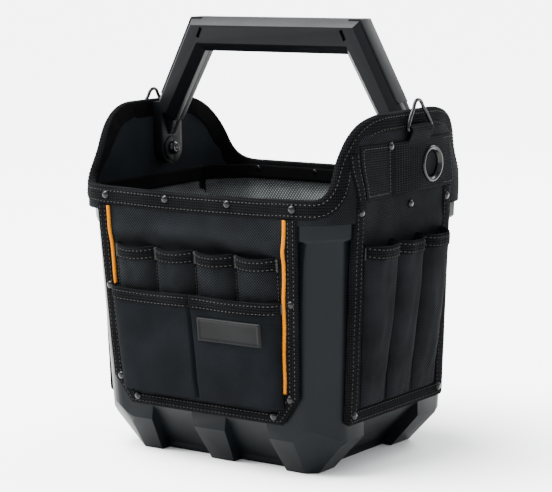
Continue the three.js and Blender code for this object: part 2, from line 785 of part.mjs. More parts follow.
// Torus-like eyelet: flared on the outside, a sleeve through the band.
function grommetRing(side) {
  const { outerR, holeR, lip, y, z } = GROMMET;
  const sleeve = WEB_BAND.thickness + 1.2;
  const profile = [
    [holeR, -sleeve],
    [holeR + 1.6, -sleeve],
    [holeR + 1.6, 0.2],
    [outerR, 0.2],
    [outerR, lip * 0.6],
    [outerR - 1.4, lip],
    [outerR - 3, lip * 0.7],
    [holeR, -0.8],
    [holeR, -sleeve],
  ];
  const lathe = new THREE.LatheGeometry(profile.map(([r, h]) => new THREE.Vector2(r, h)), 28);
  lathe.rotateZ(side < 0 ? Math.PI / 2 : -Math.PI / 2);
  const face = side * (COLLAR.x + CLEAR + WEB_BAND.thickness);
  return solid(lathe.translate(face, y, z));
}

function grommetBore(side) {
  const x = side * COLLAR.x;
  return rodX(GROMMET.y, GROMMET.z, GROMMET.holeR + 1.6 + CLEAR, x - 5, x + 5, 28);
}

function webBand(side) {
  const band = webSlab(CLEAR, CLEAR + WEB_BAND.thickness, 0);
  return sideOnly(side, band).subtract(grommetBore(side));
}

// Webbing folded over the ring's straight bar, with its tail flat on the ear.
function ringTab(side) {
  const { x, z, y, wireR, tabHalf } = RING;
  const inner = wireR + CLEAR;
  const outer = inner + 1.6;
  const tube = new THREE.CylinderGeometry(outer, outer, tabHalf * 2, 20);
  const eye = solid(tube.translate(side * x, y, z));
  const x0 = side * (COLLAR.x + BINDING + CLEAR * 2);
  const x1 = side * (x - inner + 0.6);
  const tail = box(Math.min(x0, x1), Math.max(x0, x1), y - tabHalf, y + tabHalf, WEB_BAND.z1 + CLEAR, z);
  const hole = new THREE.CylinderGeometry(inner, inner, tabHalf * 3, 16);
  return eye.add(tail).subtract(solid(hole.translate(side * x, y, z)));
}

// Bent wire triangle with a rounded top; its butt joint is in the middle of the straight bar.
function dRing(side) {
  const { x, y, z, halfBase, height, lean, topR, wireR } = RING;
  const at = (dy, dz) => new THREE.Vector3(side * (x - (lean * dz) / height), y + dy, z + dz);
  const route = [
    at(0.2, 0),
    at(halfBase * 0.5, 0),
    at(halfBase - 2.5, 0.1),
    at(halfBase, 1.8),
    at(halfBase - 2, 6),
    at(lerp(halfBase, topR, 0.55), height * 0.5),
    at(topR, height - topR * 0.9),
    at(topR * 0.62, height - topR * 0.22),
    at(0, height),
  ];
  const mirrored = route.slice(0, -1).reverse().map((point) => at(y - point.y, point.z - z));
  const curve = new THREE.CatmullRomCurve3([...route, ...mirrored], false, 'centripetal');
  const wire = new THREE.Shape();
  wire.absarc(0, 0, wireR, 0, Math.PI * 2);
  const settings = { steps: 38, bevelEnabled: false, extrudePath: curve, curveSegments: 4 };
  return solid(new THREE.ExtrudeGeometry(wire, settings));
}

// ---------------------------------------------------------------- assembly

const model = new THREE.Group();

const RIM_PLACES = [-1.5, -0.5, 0.5, 1.5].map((k) => k * RIVET.pitch + RIVET.shift);
const rimFace = COLLAR.front + BINDING + CLEAR * 2;

// Rivets through the front of the rim: binding, collar, tub wall, liner and band.
function rimRivet(x) {
  const insideGrow = TUB.rimStep - TUB.rimWall - CLEAR * 3 - LINER.thickness - LINER_BAND.thickness;
  const grip = rimFace + rimSection(RIVET.z, insideGrow)[7][1];
  return solid(rivet(grip).rotateX(Math.PI / 2).translate(x, -rimFace, RIVET.z));
}

function rimBore(x) {
  const bore = new THREE.CylinderGeometry(RIVET.shankR + CLEAR, RIVET.shankR + CLEAR, 60, RIVET_SIDES);
  return solid(bore.translate(x, -rimFace, RIVET.z));
}

const rimBores = RIM_PLACES.map(rimBore);

// Rivets that fasten the front panel to the tub wall.
function panelRivet(side) {
  const { u, v } = PANEL_RIVET;
  const z = PANEL.bottom + v;
  const t = (z - TUB.low.z) / (TUB.high.z - TUB.low.z);
  const tubInside = lerp(TUB.low.front, TUB.high.front, t) - TUB.wall;
  const face = TAPE_LOW + BINDING + CLEAR;
  const grip = FACES.front.distance + FACES.front.slope * v - tubInside + face + CLEAR;
  return solid(rivet(grip).translate(side * u, v, face));
}

const panelBores = [-1, 1].map((side) => {
  return rodZ(side * PANEL_RIVET.u, PANEL_RIVET.v, RIVET.shankR + CLEAR, -15, 15);
});
const tubBores = [-1, 1].map((side) => {
  const bore = new THREE.CylinderGeometry(RIVET.shankR + CLEAR, RIVET.shankR + CLEAR, 30, RIVET_SIDES);
  const placed = bore.rotateX(Math.PI / 2).translate(side * PANEL_RIVET.u, PANEL_RIVET.v, 0);
  return solid(placed.applyMatrix4(faceMatrix(FACES.front)));
});

addPiece(model, 'tub', cut(tubShell(), [...rimBores, ...tubBores]), MATERIALS.tub);
addPiece(model, 'liner', cut(linerShell(), rimBores), MATERIALS.liner);
addPiece(model, 'liner_band', cut(linerBand(), rimBores), MATERIALS.tape);
RIM_PLACES.forEach((x, i) => addPiece(model, `rim_rivet_${i + 1}`, rimRivet(x), MATERIALS.metal));

for (const [way, end] of [[-1, 'front'], [1, 'back']]) {
  addPiece(model, `collar_${end}`, cut(collarEnd(way), way < 0 ? rimBores : []), MATERIALS.fabric);
  addPiece(model, `rim_binding_${end}`, cut(rimBinding(way), way < 0 ? rimBores : []), MATERIALS.tape);
}

for (const [side, hand] of [[-1, 'left'], [1, 'right']]) {
  const pivotHole = rodX(HANDLE.y, PIVOT.z, PIVOT.shankR + CLEAR, -155.2, 155.2);
  const nutHole = rodX(HANDLE.y, PIVOT.z, PIVOT.shankR + 3.4 + CLEAR, -155.3, 155.3, 6);
  const board = earInner(side, BOARD_OUT, LAYER.board);
  const lining = earInner(side, LINING_OUT, LAYER.lining);
  addPiece(model, `ear_outer_${hand}`, earOuter(side).subtract(grommetBore(side)), MATERIALS.fabric);
  addPiece(model, `ear_board_${hand}`, board.subtract(nutHole), MATERIALS.board);
  addPiece(model, `ear_lining_${hand}`, lining.subtract(pivotHole), MATERIALS.lining);
  addPiece(model, `ear_binding_${hand}`, earBinding(side), MATERIALS.tape);
  addPiece(model, `web_band_${hand}`, webBand(side), MATERIALS.web);
  addPiece(model, `grommet_${hand}`, grommetRing(side), MATERIALS.metal);
  addPiece(model, `ring_tab_${hand}`, ringTab(side), MATERIALS.web);
  addPiece(model, `d_ring_${hand}`, dRing(side), MATERIALS.metal);
  addPiece(model, `pivot_bolt_${hand}`, pivotBolt(side), MATERIALS.metal);
  addPiece(model, `pivot_nut_${hand}`, pivotNut(side), MATERIALS.steel);
  const trim = trimStrip(side, -TRIM.thickness, 0, TRIM.depth / 2);
  addPiece(model, `handle_trim_${hand}`, trim, MATERIALS.handle);
}

addPiece(model, 'handle_front_shell', handleHalf(-1), MATERIALS.handle);
addPiece(model, 'handle_rear_shell', handleHalf(1), MATERIALS.handle);

for (const name of ['front', 'back']) {
  const group = faceGroup(model, FACES[name]);
  const bores = name === 'front' ? panelBores : [];
  addPiece(group, `${name}_panel`, panelSheet(FRONT_PANEL, FACES[name], bores), MATERIALS.fabric);
  addPiece(group, `${name}_panel_binding`, panelTape(FRONT_PANEL, FACES[name], bores), MATERIALS.tape);
  addPiece(group, `${name}_piping_left`, pipingCord(-1), MATERIALS.piping);
  addPiece(group, `${name}_piping_right`, pipingCord(1), MATERIALS.piping);
  const pockets = new THREE.Group();
  pockets.position.z = POCKET_BACK;
  group.add(pockets);
  addPiece(pockets, `${name}_tool_pockets`, pocketRow(TOOL_POCKETS, 2.6), MATERIALS.fabric);
  addPiece(pockets, `${name}_pouches`, pocketRow(POUCHES, 6), MATERIALS.pouch);
  if (name === 'front') {
    addPiece(group, 'panel_rivet_left', panelRivet(-1), MATERIALS.metal);
    addPiece(group, 'panel_rivet_right', panelRivet(1), MATERIALS.metal);
    const { u, v, width, height, thickness } = PATCH;
    const t = (v - POUCHES.low) / (POUCHES.top - POUCHES.low);
    const depth = lerp(POUCHES.depthLow, POUCHES.depthTop, Math.sin((t * Math.PI) / 2));
    const badge = new THREE.Group();
    badge.position.set(u, v, depth + CLEAR + 0.7);
    badge.rotation.x = -Math.atan2(POUCHES.depthTop - POUCHES.depthLow, POUCHES.top - POUCHES.low) * 0.6;
    pockets.add(badge);
    const slab = box(-width / 2, width / 2, -height / 2, height / 2, 0, thickness);
    addPiece(badge, 'front_patch', slab, MATERIALS.patch);
  }
}

for (const [side, hand] of [[-1, 'left'], [1, 'right']]) {
  const group = faceGroup(model, FACES[hand]);
  addPiece(group, `side_panel_${hand}`, panelSheet(SIDE_PANEL, FACES[hand], []), MATERIALS.fabric);
  addPiece(group, `side_panel_binding_${hand}`, panelTape(SIDE_PANEL, FACES[hand], []), MATERIALS.tape);
  const pockets = new THREE.Group();
  pockets.position.z = POCKET_BACK;
  group.add(pockets);
  const { pitch, low, top, depthLow, depthTop } = SIDE_POCKETS;
  for (const [k, place] of [[-1, 'front'], [0, 'middle'], [1, 'rear']]) {
    const centre = side * k * pitch;
    const edges = [centre - pitch / 2 + CLEAR, centre + pitch / 2 - CLEAR];
    const body = pocketShell(...edges, low, top[k + 1], [depthLow, depthTop], 2.6);
    addPiece(pockets, `side_pocket_${place}_${hand}`, body, MATERIALS.fabric);
  }
}

// The origin is under the middle of the object.
model.updateMatrixWorld(true);
const bounds = new THREE.Box3().setFromObject(model, true);
const middle = bounds.getCenter(new THREE.Vector3());
model.position.set(-middle.x, -middle.y, -bounds.min.z);

export default model;
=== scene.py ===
"""Visual model of an open tool bucket organizer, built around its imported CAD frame. Metres, +Z up."""

import json
import math

import bmesh
import bpy
from mathutils import Matrix, Vector, noise


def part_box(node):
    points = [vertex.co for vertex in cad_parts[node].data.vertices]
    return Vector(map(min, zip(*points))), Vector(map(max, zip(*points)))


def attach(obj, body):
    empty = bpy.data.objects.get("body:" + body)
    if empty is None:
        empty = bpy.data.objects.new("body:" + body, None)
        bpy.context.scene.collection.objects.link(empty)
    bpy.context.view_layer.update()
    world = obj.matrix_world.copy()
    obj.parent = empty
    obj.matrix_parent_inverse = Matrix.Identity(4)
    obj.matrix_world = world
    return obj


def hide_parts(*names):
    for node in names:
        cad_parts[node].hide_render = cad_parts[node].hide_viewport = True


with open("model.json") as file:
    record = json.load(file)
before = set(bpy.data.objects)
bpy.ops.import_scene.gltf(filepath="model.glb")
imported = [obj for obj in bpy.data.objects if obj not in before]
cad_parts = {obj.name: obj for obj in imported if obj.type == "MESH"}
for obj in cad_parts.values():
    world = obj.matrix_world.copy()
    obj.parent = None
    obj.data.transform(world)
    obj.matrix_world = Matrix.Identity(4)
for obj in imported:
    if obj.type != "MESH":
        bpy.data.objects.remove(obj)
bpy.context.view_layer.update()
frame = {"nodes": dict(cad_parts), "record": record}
NODES = frame["nodes"]
MM = 0.001
SIDES = ((1, "right"), (-1, "left"))
ENDS = ("front", "back")

# ------ camera

CAMERA_PLACE = Vector((1.1934, -1.6238, 0.5104))
CAMERA_RIGHT = Vector((0.8078, 0.5892, -0.0162))
CAMERA_UP = Vector((-0.0772, 0.1331, 0.9881))
LENS = 133.8


def add_camera():
    data = bpy.data.cameras.new("camera")
    data.lens = LENS
    data.sensor_width = 36
    data.clip_end = 50
    camera = bpy.data.objects.new("camera", data)
    bpy.context.scene.collection.objects.link(camera)
    right = CAMERA_RIGHT.normalized()
    back = right.cross(CAMERA_UP).normalized()
    up = back.cross(right)
    camera.matrix_world = Matrix.Translation(CAMERA_PLACE) @ Matrix((right, up, back)).transposed().to_4x4()
    bpy.context.scene.camera = camera


add_camera()

# ------ sizes, in millimetres

DRAWN_WEB_FRONT = -74.0  # y of the wide webbing's front end in the drawing that these sizes come from
SHIFT_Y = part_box("web_band_right")[0].y / MM - DRAWN_WEB_FRONT  # the frame's y is the drawing's y plus this
COLLAR = {"x": 157.6, "front": 130.2, "rear": 126.4, "low": 243.0, "band": 265.5}
PANEL_LOW = 52.0
END_HEIGHT = 198.2
SIDE_HEIGHT = 211.4
SIDE_HALF = 81.5
POUCH_TAPE = 12.5
STITCH_PITCH = 4.3
STITCH_LENGTH = 2.4


class Face:
    """Flat frame on one side of the tub: u to the right seen from outside, v up, w outwards."""

    def __init__(self, out, distance, slope, along=0.0):
        outward = Vector((out[0], out[1], 0))
        lean = math.atan(slope)
        self.v = Vector((0, 0, 1)) * math.cos(lean) + outward * math.sin(lean)
        self.w = outward * math.cos(lean) - Vector((0, 0, 1)) * math.sin(lean)
        self.u = self.v.cross(self.w)
        self.origin = outward * distance + self.u * along + Vector((0, SHIFT_Y, PANEL_LOW))

    def at(self, u, v, w):
        return (self.origin + self.u * u + self.v * v + self.w * w) * MM


FACES = {
    "front": Face((0, -1), 116, 0.0597),
    "back": Face((0, 1), 107.6, 0.08),
    "right": Face((1, 0), 143.7, 0.055, -7),
    "left": Face((-1, 0), 143.7, 0.055, 7),
}


def lerp(a, b, t):
    return a + (b - a) * t


def smooth(t):
    t = max(0.0, min(1.0, t))
    return t * t * (3 - 2 * t)


def wobble(point, scale, seed=0.0):
    """Repeatable soft noise in -1..1 at a place in millimetres."""
    return noise.noise(Vector(point) * scale + Vector((seed * 7.3, seed * 3.1, seed)))


# ------ materials

FABRIC_ROUGHNESS = 0.9
FABRIC_SPECULAR = 0.03


def new_material(name, colour, roughness, metallic=0.0, specular=0.5):
    material = bpy.data.materials.new(name)
    material.use_nodes = True
    shader = material.node_tree.nodes["Principled BSDF"]
    shader.inputs["Base Color"].default_value = (*colour, 1)
    shader.inputs["Roughness"].default_value = roughness
    shader.inputs["Metallic"].default_value = metallic
    shader.inputs["Specular IOR Level"].default_value = specular
    return material


class Nodes:
    """Short way to add and join shader nodes. Noise scales are in cycles per metre."""

    def __init__(self, material):
        self.tree = material.node_tree
        self.shader = self.tree.nodes["Principled BSDF"]
        self.place = self.tree.nodes.new("ShaderNodeTexCoord").outputs["Object"]

    def link(self, a, b):
        self.tree.links.new(a, b)

    def math(self, operation, *values):
        """One operation on sockets or plain numbers."""
        node = self.tree.nodes.new("ShaderNodeMath")
        node.operation = operation
        for socket, value in zip(node.inputs, values):
            if isinstance(value, (int, float)):
                socket.default_value = value
            else:
                self.link(value, socket)
        return node.outputs[0]

    def axes(self):
        node = self.tree.nodes.new("ShaderNodeSeparateXYZ")
        self.link(self.place, node.inputs[0])
        return node.outputs

    def noise(self, scale, detail):
        node = self.tree.nodes.new("ShaderNodeTexNoise")
        node.inputs["Scale"].default_value = scale
        node.inputs["Detail"].default_value = detail
        self.link(self.place, node.inputs["Vector"])
        return node.outputs["Fac"]

    def wave(self, coordinate, pitch):
        """A 0..1 wave along a coordinate, one cycle each pitch metres."""
        turned = self.math("MULTIPLY", coordinate, 2 * math.pi / pitch)
        return self.math("ADD", self.math("MULTIPLY", self.math("SINE", turned), 0.5), 0.5)

    def colour(self, value, dark, light, dark_at, light_at):
        """Base colour that goes from dark to light as the value goes from dark_at to light_at."""
        node = self.tree.nodes.new("ShaderNodeValToRGB")
        node.color_ramp.elements[0].position = dark_at
        node.color_ramp.elements[1].position = light_at
        node.color_ramp.elements[0].color = (*dark, 1)
        node.color_ramp.elements[1].color = (*light, 1)
        self.link(value, node.inputs[0])
        self.link(node.outputs[0], self.shader.inputs["Base Color"])

    def uneven(self, roughness, spread, scale):
        """Roughness that wanders over a spread centred on its value."""
        rough = self.math("MULTIPLY_ADD", self.noise(scale, 3), spread, roughness - spread / 2)
        self.link(rough, self.shader.inputs["Roughness"])

    def bump(self, height, strength, distance):
        node = self.tree.nodes.new("ShaderNodeBump")
        node.inputs["Strength"].default_value = strength
        node.inputs["Distance"].default_value = distance
        self.link(height, node.inputs["Height"])
        self.link(node.outputs[0], self.shader.inputs["Normal"])


def woven(name, dark, light, pitch, strength, diagonal):
    """Cloth: two crossing thread waves, diagonal or square, over a slow mottling and rubbed places."""
    material = new_material(name, dark, FABRIC_ROUGHNESS, specular=FABRIC_SPECULAR)
    n = Nodes(material)
    x, y, z = n.axes()
    level = n.math("ADD", x, y)
    first, second = level, z
    if diagonal:
        first, second = n.math("ADD", level, z), n.math("SUBTRACT", level, z)
    threads = n.math("MULTIPLY", n.wave(first, pitch), n.wave(second, pitch))
    rubbed = n.math("MULTIPLY", n.noise(28, 3), 0.55)
    mottle = n.math("ADD", n.math("MULTIPLY", threads, 0.7), rubbed)
    n.colour(mottle, dark, light, 0.22, 0.85)
    fuzz = n.math("MULTIPLY", n.noise(900, 1), 0.4)
    n.bump(n.math("ADD", threads, fuzz), strength, pitch * 0.35)
    return material


def moulded(name, dark, light, roughness, specular):
    """Injection moulded plastic: fine texture, slight unevenness and rubbed patches."""
    material = new_material(name, dark, roughness, specular=specular)
    n = Nodes(material)
    n.colour(n.noise(14, 4), dark, light, 0.3, 0.75)
    n.uneven(roughness, 0.14, 30)
    n.bump(n.noise(1400, 2), 0.12, 0.0004)
    return material


def metal(name, colour, roughness, metallic, specular):
    """Plated or blackened metal with faint handling marks."""
    material = new_material(name, colour, roughness, metallic, specular)
    n = Nodes(material)
    n.uneven(roughness, 0.2, 160)
    n.bump(n.noise(500, 2), 0.05, 0.0003)
    return material


# Darkest and lightest colour, roughness, specular level.
PLASTICS = {
    "tub_plastic": ((0.0013, 0.0019, 0.0025), (0.0020, 0.0028, 0.0036), 0.42, 0.06),
    "handle_plastic": ((0.0009, 0.0012, 0.0016), (0.0014, 0.0018, 0.0023), 0.42, 0.08),
    "board_plastic": ((0.001, 0.001, 0.0012), (0.002, 0.002, 0.0022), 0.6, 0.08),
    "patch_rubber": ((0.0007, 0.0008, 0.0009), (0.0012, 0.0013, 0.0015), 0.45, 0.08),
}
# Darkest and lightest colour, thread pitch in metres, relief, and whether the weave runs diagonally.
FABRICS = {
    "black_fabric": ((0.0004, 0.0005, 0.0006), (0.0105, 0.0118, 0.0134), 0.0030, 0.6, True),
    "pouch_fabric": ((0.0008, 0.0010, 0.0013), (0.0056, 0.0067, 0.0080), 0.0024, 0.4, True),
    "edge_tape": ((0.0002, 0.0002, 0.0003), (0.0042, 0.0045, 0.0049), 0.0026, 0.6, False),
    "inner_tape": ((0.0005, 0.0005, 0.0006), (0.0020, 0.0021, 0.0023), 0.0016, 0.2, True),
    "webbing": ((0.0004, 0.0005, 0.0006), (0.0066, 0.0072, 0.0080), 0.0022, 0.6, False),
    "liner_fabric": ((0.012, 0.013, 0.0138), (0.088, 0.094, 0.096), 0.0036, 0.4, True),
    "lining_fabric": ((0.0040, 0.0050, 0.0062), (0.0090, 0.0108, 0.0130), 0.0018, 0.25, True),
    "orange_piping": ((0.26, 0.075, 0.001), (0.38, 0.130, 0.001), 0.0014, 0.2, True),
    "thread": ((0.020, 0.020, 0.020), (0.055, 0.055, 0.053), 0.0008, 0.2, True),
}
# Colour, roughness, metallic share, specular level.
METALS = {
    "dark_metal": ((0.0018, 0.0019, 0.0021), 0.2, 0.0, 0.16),
    "zinc_steel": ((0.1, 0.1, 0.11), 0.4, 0.9, 0.5),
}
LOOKS = {name: moulded(name, *values) for name, values in PLASTICS.items()}
LOOKS.update({name: woven(name, *values) for name, values in FABRICS.items()})
LOOKS.update({name: metal(name, *values) for name, values in METALS.items()})
LOOK_OF_NODE = {s["node"]: s["material_slot"] for s in frame["record"]["subparts"]}
for node_name, node in NODES.items():
    node.data.materials.clear()
    node.data.materials.append(LOOKS[LOOK_OF_NODE[node_name]])

# ------ mesh helpers

def add_piece(name, mesh, look, body="organizer", replaces=(), matrix=None):
    """Put a mesh in the scene as a piece of the object."""
    obj = bpy.data.objects.new(name, mesh)
    bpy.context.scene.collection.objects.link(obj)
    if matrix:
        obj.matrix_world = matrix
    mesh.materials.clear()
    mesh.materials.append(LOOKS[look])
    mesh.shade_smooth()
    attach(obj, body)
    if replaces:
        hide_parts(*replaces)
    return obj


def add_object(name, verts, faces, look, replaces=()):
    mesh = bpy.data.meshes.new(name)
    mesh.from_pydata([tuple(v) for v in verts], [], faces)
    mesh.validate()
    return add_piece(name, mesh, look, replaces=replaces)


def from_frame(node_name, name, look, body="organizer", shape=None):
    """A piece with a frame node's own shape, its flat faces whole again, and changed by `shape` if given."""
    source = NODES[node_name]
    mesh = source.data.copy()
    mesh.name = name
    work = bmesh.new()
    work.from_mesh(mesh)
    bmesh.ops.remove_doubles(work, verts=work.verts, dist=0.00002)
    bmesh.ops.dissolve_limit(work, angle_limit=math.radians(1.2), verts=work.verts, edges=work.edges)
    if shape:
        shape(work)
    work.to_mesh(mesh)
    work.free()
    return add_piece(name, mesh, look, body, (node_name,), source.matrix_world.copy())


def grid_faces(rows, columns, close=False):
    """Quads over points stored row by row; `close` joins the last row to the first."""
    faces = []
    for i in range(rows if close else rows - 1):
        for j in range(columns - 1):
            a = i * columns + j
            b = ((i + 1) % rows) * columns + j
            faces.append((a, a + 1, b + 1, b))
    return faces


def add_grid(name, rows, look, thickness=0.0, subdivide=0, close=False, replaces=()):
    """Sheet through rows of points, thickened inwards by `thickness` millimetres."""
    points = [p for row in rows for p in row]
    obj = add_object(name, points, grid_faces(len(rows), len(rows[0]), close), look, replaces)
    if thickness:
        thickened(obj, thickness)
    if subdivide:
        rounded(obj, subdivide)
    return obj


def thickened(obj, thickness, even=True):
    wall = obj.modifiers.new("thickness", "SOLIDIFY")
    wall.thickness = thickness * MM
    wall.offset = -1
    wall.use_even_offset = even


def rounded(obj, levels):
    finer = obj.modifiers.new("finer", "SUBSURF")
    finer.levels = levels
    finer.render_levels = levels


def bevelled(obj, width, segments, angle):
    """Edges sharper than `angle` degrees rounded over `width` millimetres."""
    bevel = obj.modifiers.new("bevel", "BEVEL")
    bevel.width = width * MM
    bevel.segments = segments
    bevel.limit_method = "ANGLE"
    bevel.angle_limit = math.radians(angle)
    bevel.harden_normals = True


def closed_up(obj):
    """Merge the doubled points of a round piece and turn its faces outwards."""
    work = bmesh.new()
    work.from_mesh(obj.data)
    bmesh.ops.remove_doubles(work, verts=work.verts, dist=0.000003)
    bmesh.ops.recalc_face_normals(work, faces=work.faces)
    work.to_mesh(obj.data)
    work.free()
    obj.data.shade_smooth()


# Thread: every run of stitches is a list of (point, outward normal) in metres along the seam.
stitch_verts = []
stitch_faces = []


def add_stitches(run, pitch=STITCH_PITCH, length=STITCH_LENGTH, width=0.36):
    """Rounded dashes along a seam, half sunk in the cloth."""
    distance = 0.0
    next_at = pitch * MM * 0.5
    for (p0, n0), (p1, n1) in zip(run, run[1:]):
        step = (p1 - p0).length
        while step > 0 and next_at <= distance + step:
            t = (next_at - distance) / step
            along = (p1 - p0).normalized()
            normal = n0.lerp(n1, t).normalized()
            across = along.cross(normal).normalized() * width * MM
            centre = p0.lerp(p1, t)
            half = along * length * MM * 0.5
            top = normal * width * MM * 0.9
            near, far = centre - half * 0.55, centre + half * 0.55
            base = len(stitch_verts)
            stitch_verts.extend([
                centre - half - top * 0.6, near + across, near + top, near - across,
                far + across, far + top, far - across, centre + half - top * 0.6, near - top, far - top,
            ])
            for face in ((0, 2, 1), (0, 3, 2), (1, 2, 5, 4), (2, 3, 6, 5), (4, 5, 7), (5, 6, 7),
                         (1, 4, 9, 8), (3, 8, 9, 6), (0, 1, 8), (0, 8, 3), (4, 7, 9), (6, 9, 7)):
                stitch_faces.append(tuple(base + k for k in face))
            next_at += pitch * MM
        distance += step


# ------ tub

def soften_uprights(work):
    """Round the tub's long upright outside edges."""
    upright = []
    for edge in work.edges:
        a, b = edge.verts[0].co, edge.verts[1].co
        lean = (b - a).normalized()
        outside = max(abs(a.x), abs(b.x)) > 0.11 and max(abs(a.y), abs(b.y)) > 0.085
        if abs(lean.z) > 0.98 and (b - a).length > 0.12 and outside:
            upright.append(edge)
    bmesh.ops.bevel(work, geom=upright, offset=0.007, segments=4, profile=0.5, affect="EDGES")


bevelled(from_frame("tub", "tub_body", "tub_plastic", shape=soften_uprights), 0.9, 3, 13)

# ------ edge tape

def tape_along(name, edge, inward, width, place, replaces, drop):
    """Folded tape with two stitched rows along a panel's edge.

    edge and inward give each point in (u, v, w) and the direction from it into the cloth, place maps
    (u, v, w) to the world, and drop is the fold's depth."""
    wall, crown = 1.1, 0.5
    section = [(0.0, -drop), (-0.7, -drop * 0.5), (-0.75, 0.1), (0.0, wall * 0.8), (1.6, wall)]
    section += [(width * 0.3, wall + crown), (width * 0.7, wall + crown), (width - 1.2, wall * 0.85)]
    section += [(width, 0.0), (width - 0.2, -0.6)]
    out = Vector((0, 0, 1))
    strips = [[place(point + into * a + out * b) for a, b in section] for point, into in zip(edge, inward)]
    add_grid(name, strips, "edge_tape", replaces=replaces)
    height = wall + crown * 0.75
    for row in (2.8, width - 2.6):
        run = []
        for point, into in zip(edge, inward):
            at = place(point + into * row + out * height)
            above = place(point + into * row + out * (height + 1))
            run.append((at, (above - at).normalized()))
        add_stitches(run)


def resample(points, step):
    """Points no further apart than `step` along a polyline, its corners kept."""
    result = [points[0]]
    for a, b in zip(points, points[1:]):
        count = max(1, round((b - a).length / step))
        result += [a.lerp(b, k / count) for k in range(1, count + 1)]
    return result


def inward_of(points):
    """Mitred directions to the left of a flat polyline in (u, v)."""
    directions = []
    for i, point in enumerate(points):
        before = points[max(i - 1, 0)]
        after = points[min(i + 1, len(points) - 1)]
        d0 = (point - before).normalized() if i else (after - point).normalized()
        d1 = (after - point).normalized() if i < len(points) - 1 else d0
        n0 = Vector((-d0.y, d0.x, 0))
        n1 = Vector((-d1.y, d1.x, 0))
        both = (n0 + n1).normalized()
        directions.append(both / max(0.6, both.dot(n0)))
    return directions


# ------ panels

def panel_relief(face_name, u, v):
    """How far the loose cloth of a panel stands off its flat plane."""
    seed = {"front": 1, "back": 2, "right": 3, "left": 4}[face_name]
    soft = wobble((u, v, 0), 0.022, seed) * 1.3
    if face_name in ("front", "back"):
        edge = smooth((110 - abs(u)) / 22) * smooth((194 - v) / 10)
        ridge = 172 - 0.05 * u + 3 * math.sin(u / 41 + seed)
        sag = 6.4 * math.exp(-((v - ridge) / 8.0) ** 2) * lerp(0.55, 1.0, smooth((u + 90) / 120))
        dent = -1.8 * math.exp(-((v - ridge + 15) / 7.0) ** 2)
        pull = 2.6 * math.exp(-((u + 78 + 1.6 * (v - 180)) / 9.0) ** 2)
        return edge * (soft + (sag + dent + pull) * smooth((v - 148) / 12))
    lower = math.exp(-((v - 185 + 0.1 * u) / 9.0) ** 2) * 1.6
    return (soft + lower) * smooth((78 - abs(u)) / 14) * smooth((205 - v) / 8)


def tuck(face_name, u, v):
    """The hidden side's panel lies in against the tub along its upright edges."""
    return -(2.4 + 0.018 * v) * smooth((abs(u) - 62) / 18) if face_name == "left" else 0.0


def build_panel(face_name, name, outline, half_at, height, tape, drop):
    """Loose cloth of one side with its edge tape. half_at(v) is the cloth's half width at a height."""
    nodes = (name.format("panel"), name.format("panel_binding"))
    prefix = name.format("cloth")
    face = FACES[face_name]
    rows = []
    for i in range(56):
        v = height * i / 55
        row = []
        for s in range(-36, 37):
            u = s / 36 * half_at(v)
            row.append(face.at(u, v, 1.8 + panel_relief(face_name, u, v) + tuck(face_name, u, v)))
        rows.append(row)
    cloth = add_grid(prefix, rows, "black_fabric", thickness=1.6, replaces=(nodes[0],))
    2 * half_at(height) * MM
    points = resample([Vector((u, v, 0)) for u, v in outline], 6)
    lifted = [p + Vector((0, 0, 2.0 + 0.4 * wobble(p, 0.03, 9) + tuck(face_name, p.x, p.y))) for p in points]
    tape_along(prefix + "_edge", lifted, inward_of(points), tape, lambda p: face.at(*p), (nodes[1],), drop)


FOOT_HALF, CORNER_HALF, TOP_HALF, CORNER_UP = 91, 111, 118.5, 26


def front_half(v):
    """Half width of the end panels, whose lower corners are cut off."""
    if v < CORNER_UP:
        return lerp(FOOT_HALF, CORNER_HALF, v / CORNER_UP)
    return lerp(CORNER_HALF, TOP_HALF, (v - CORNER_UP) / (END_HEIGHT - CORNER_UP))


END_TOP, SIDE_TOP = END_HEIGHT - 2.0, SIDE_HEIGHT - 1.8
FRONT_OUTLINE = [(-118.4, END_TOP), (-CORNER_HALF, CORNER_UP), (-FOOT_HALF, 0), (FOOT_HALF, 0),
                 (CORNER_HALF, CORNER_UP), (118.4, END_TOP)]
SIDE_OUTLINE = [(-82, SIDE_TOP), (-82, 2), (-80, 0), (80, 0), (82, 2), (82, SIDE_TOP)]
for end in ENDS:
    build_panel(end, end + "_{}", FRONT_OUTLINE, front_half, END_HEIGHT, tape=11.2, drop=2.6)
for _, hand in SIDES:
    build_panel(hand, "side_{}_" + hand, SIDE_OUTLINE, lambda v: SIDE_HALF, SIDE_HEIGHT, tape=13.5, drop=4.8)

# ------ pockets

POCKET_BASE = 2.5  # how far a pocket's flat back stands off its face


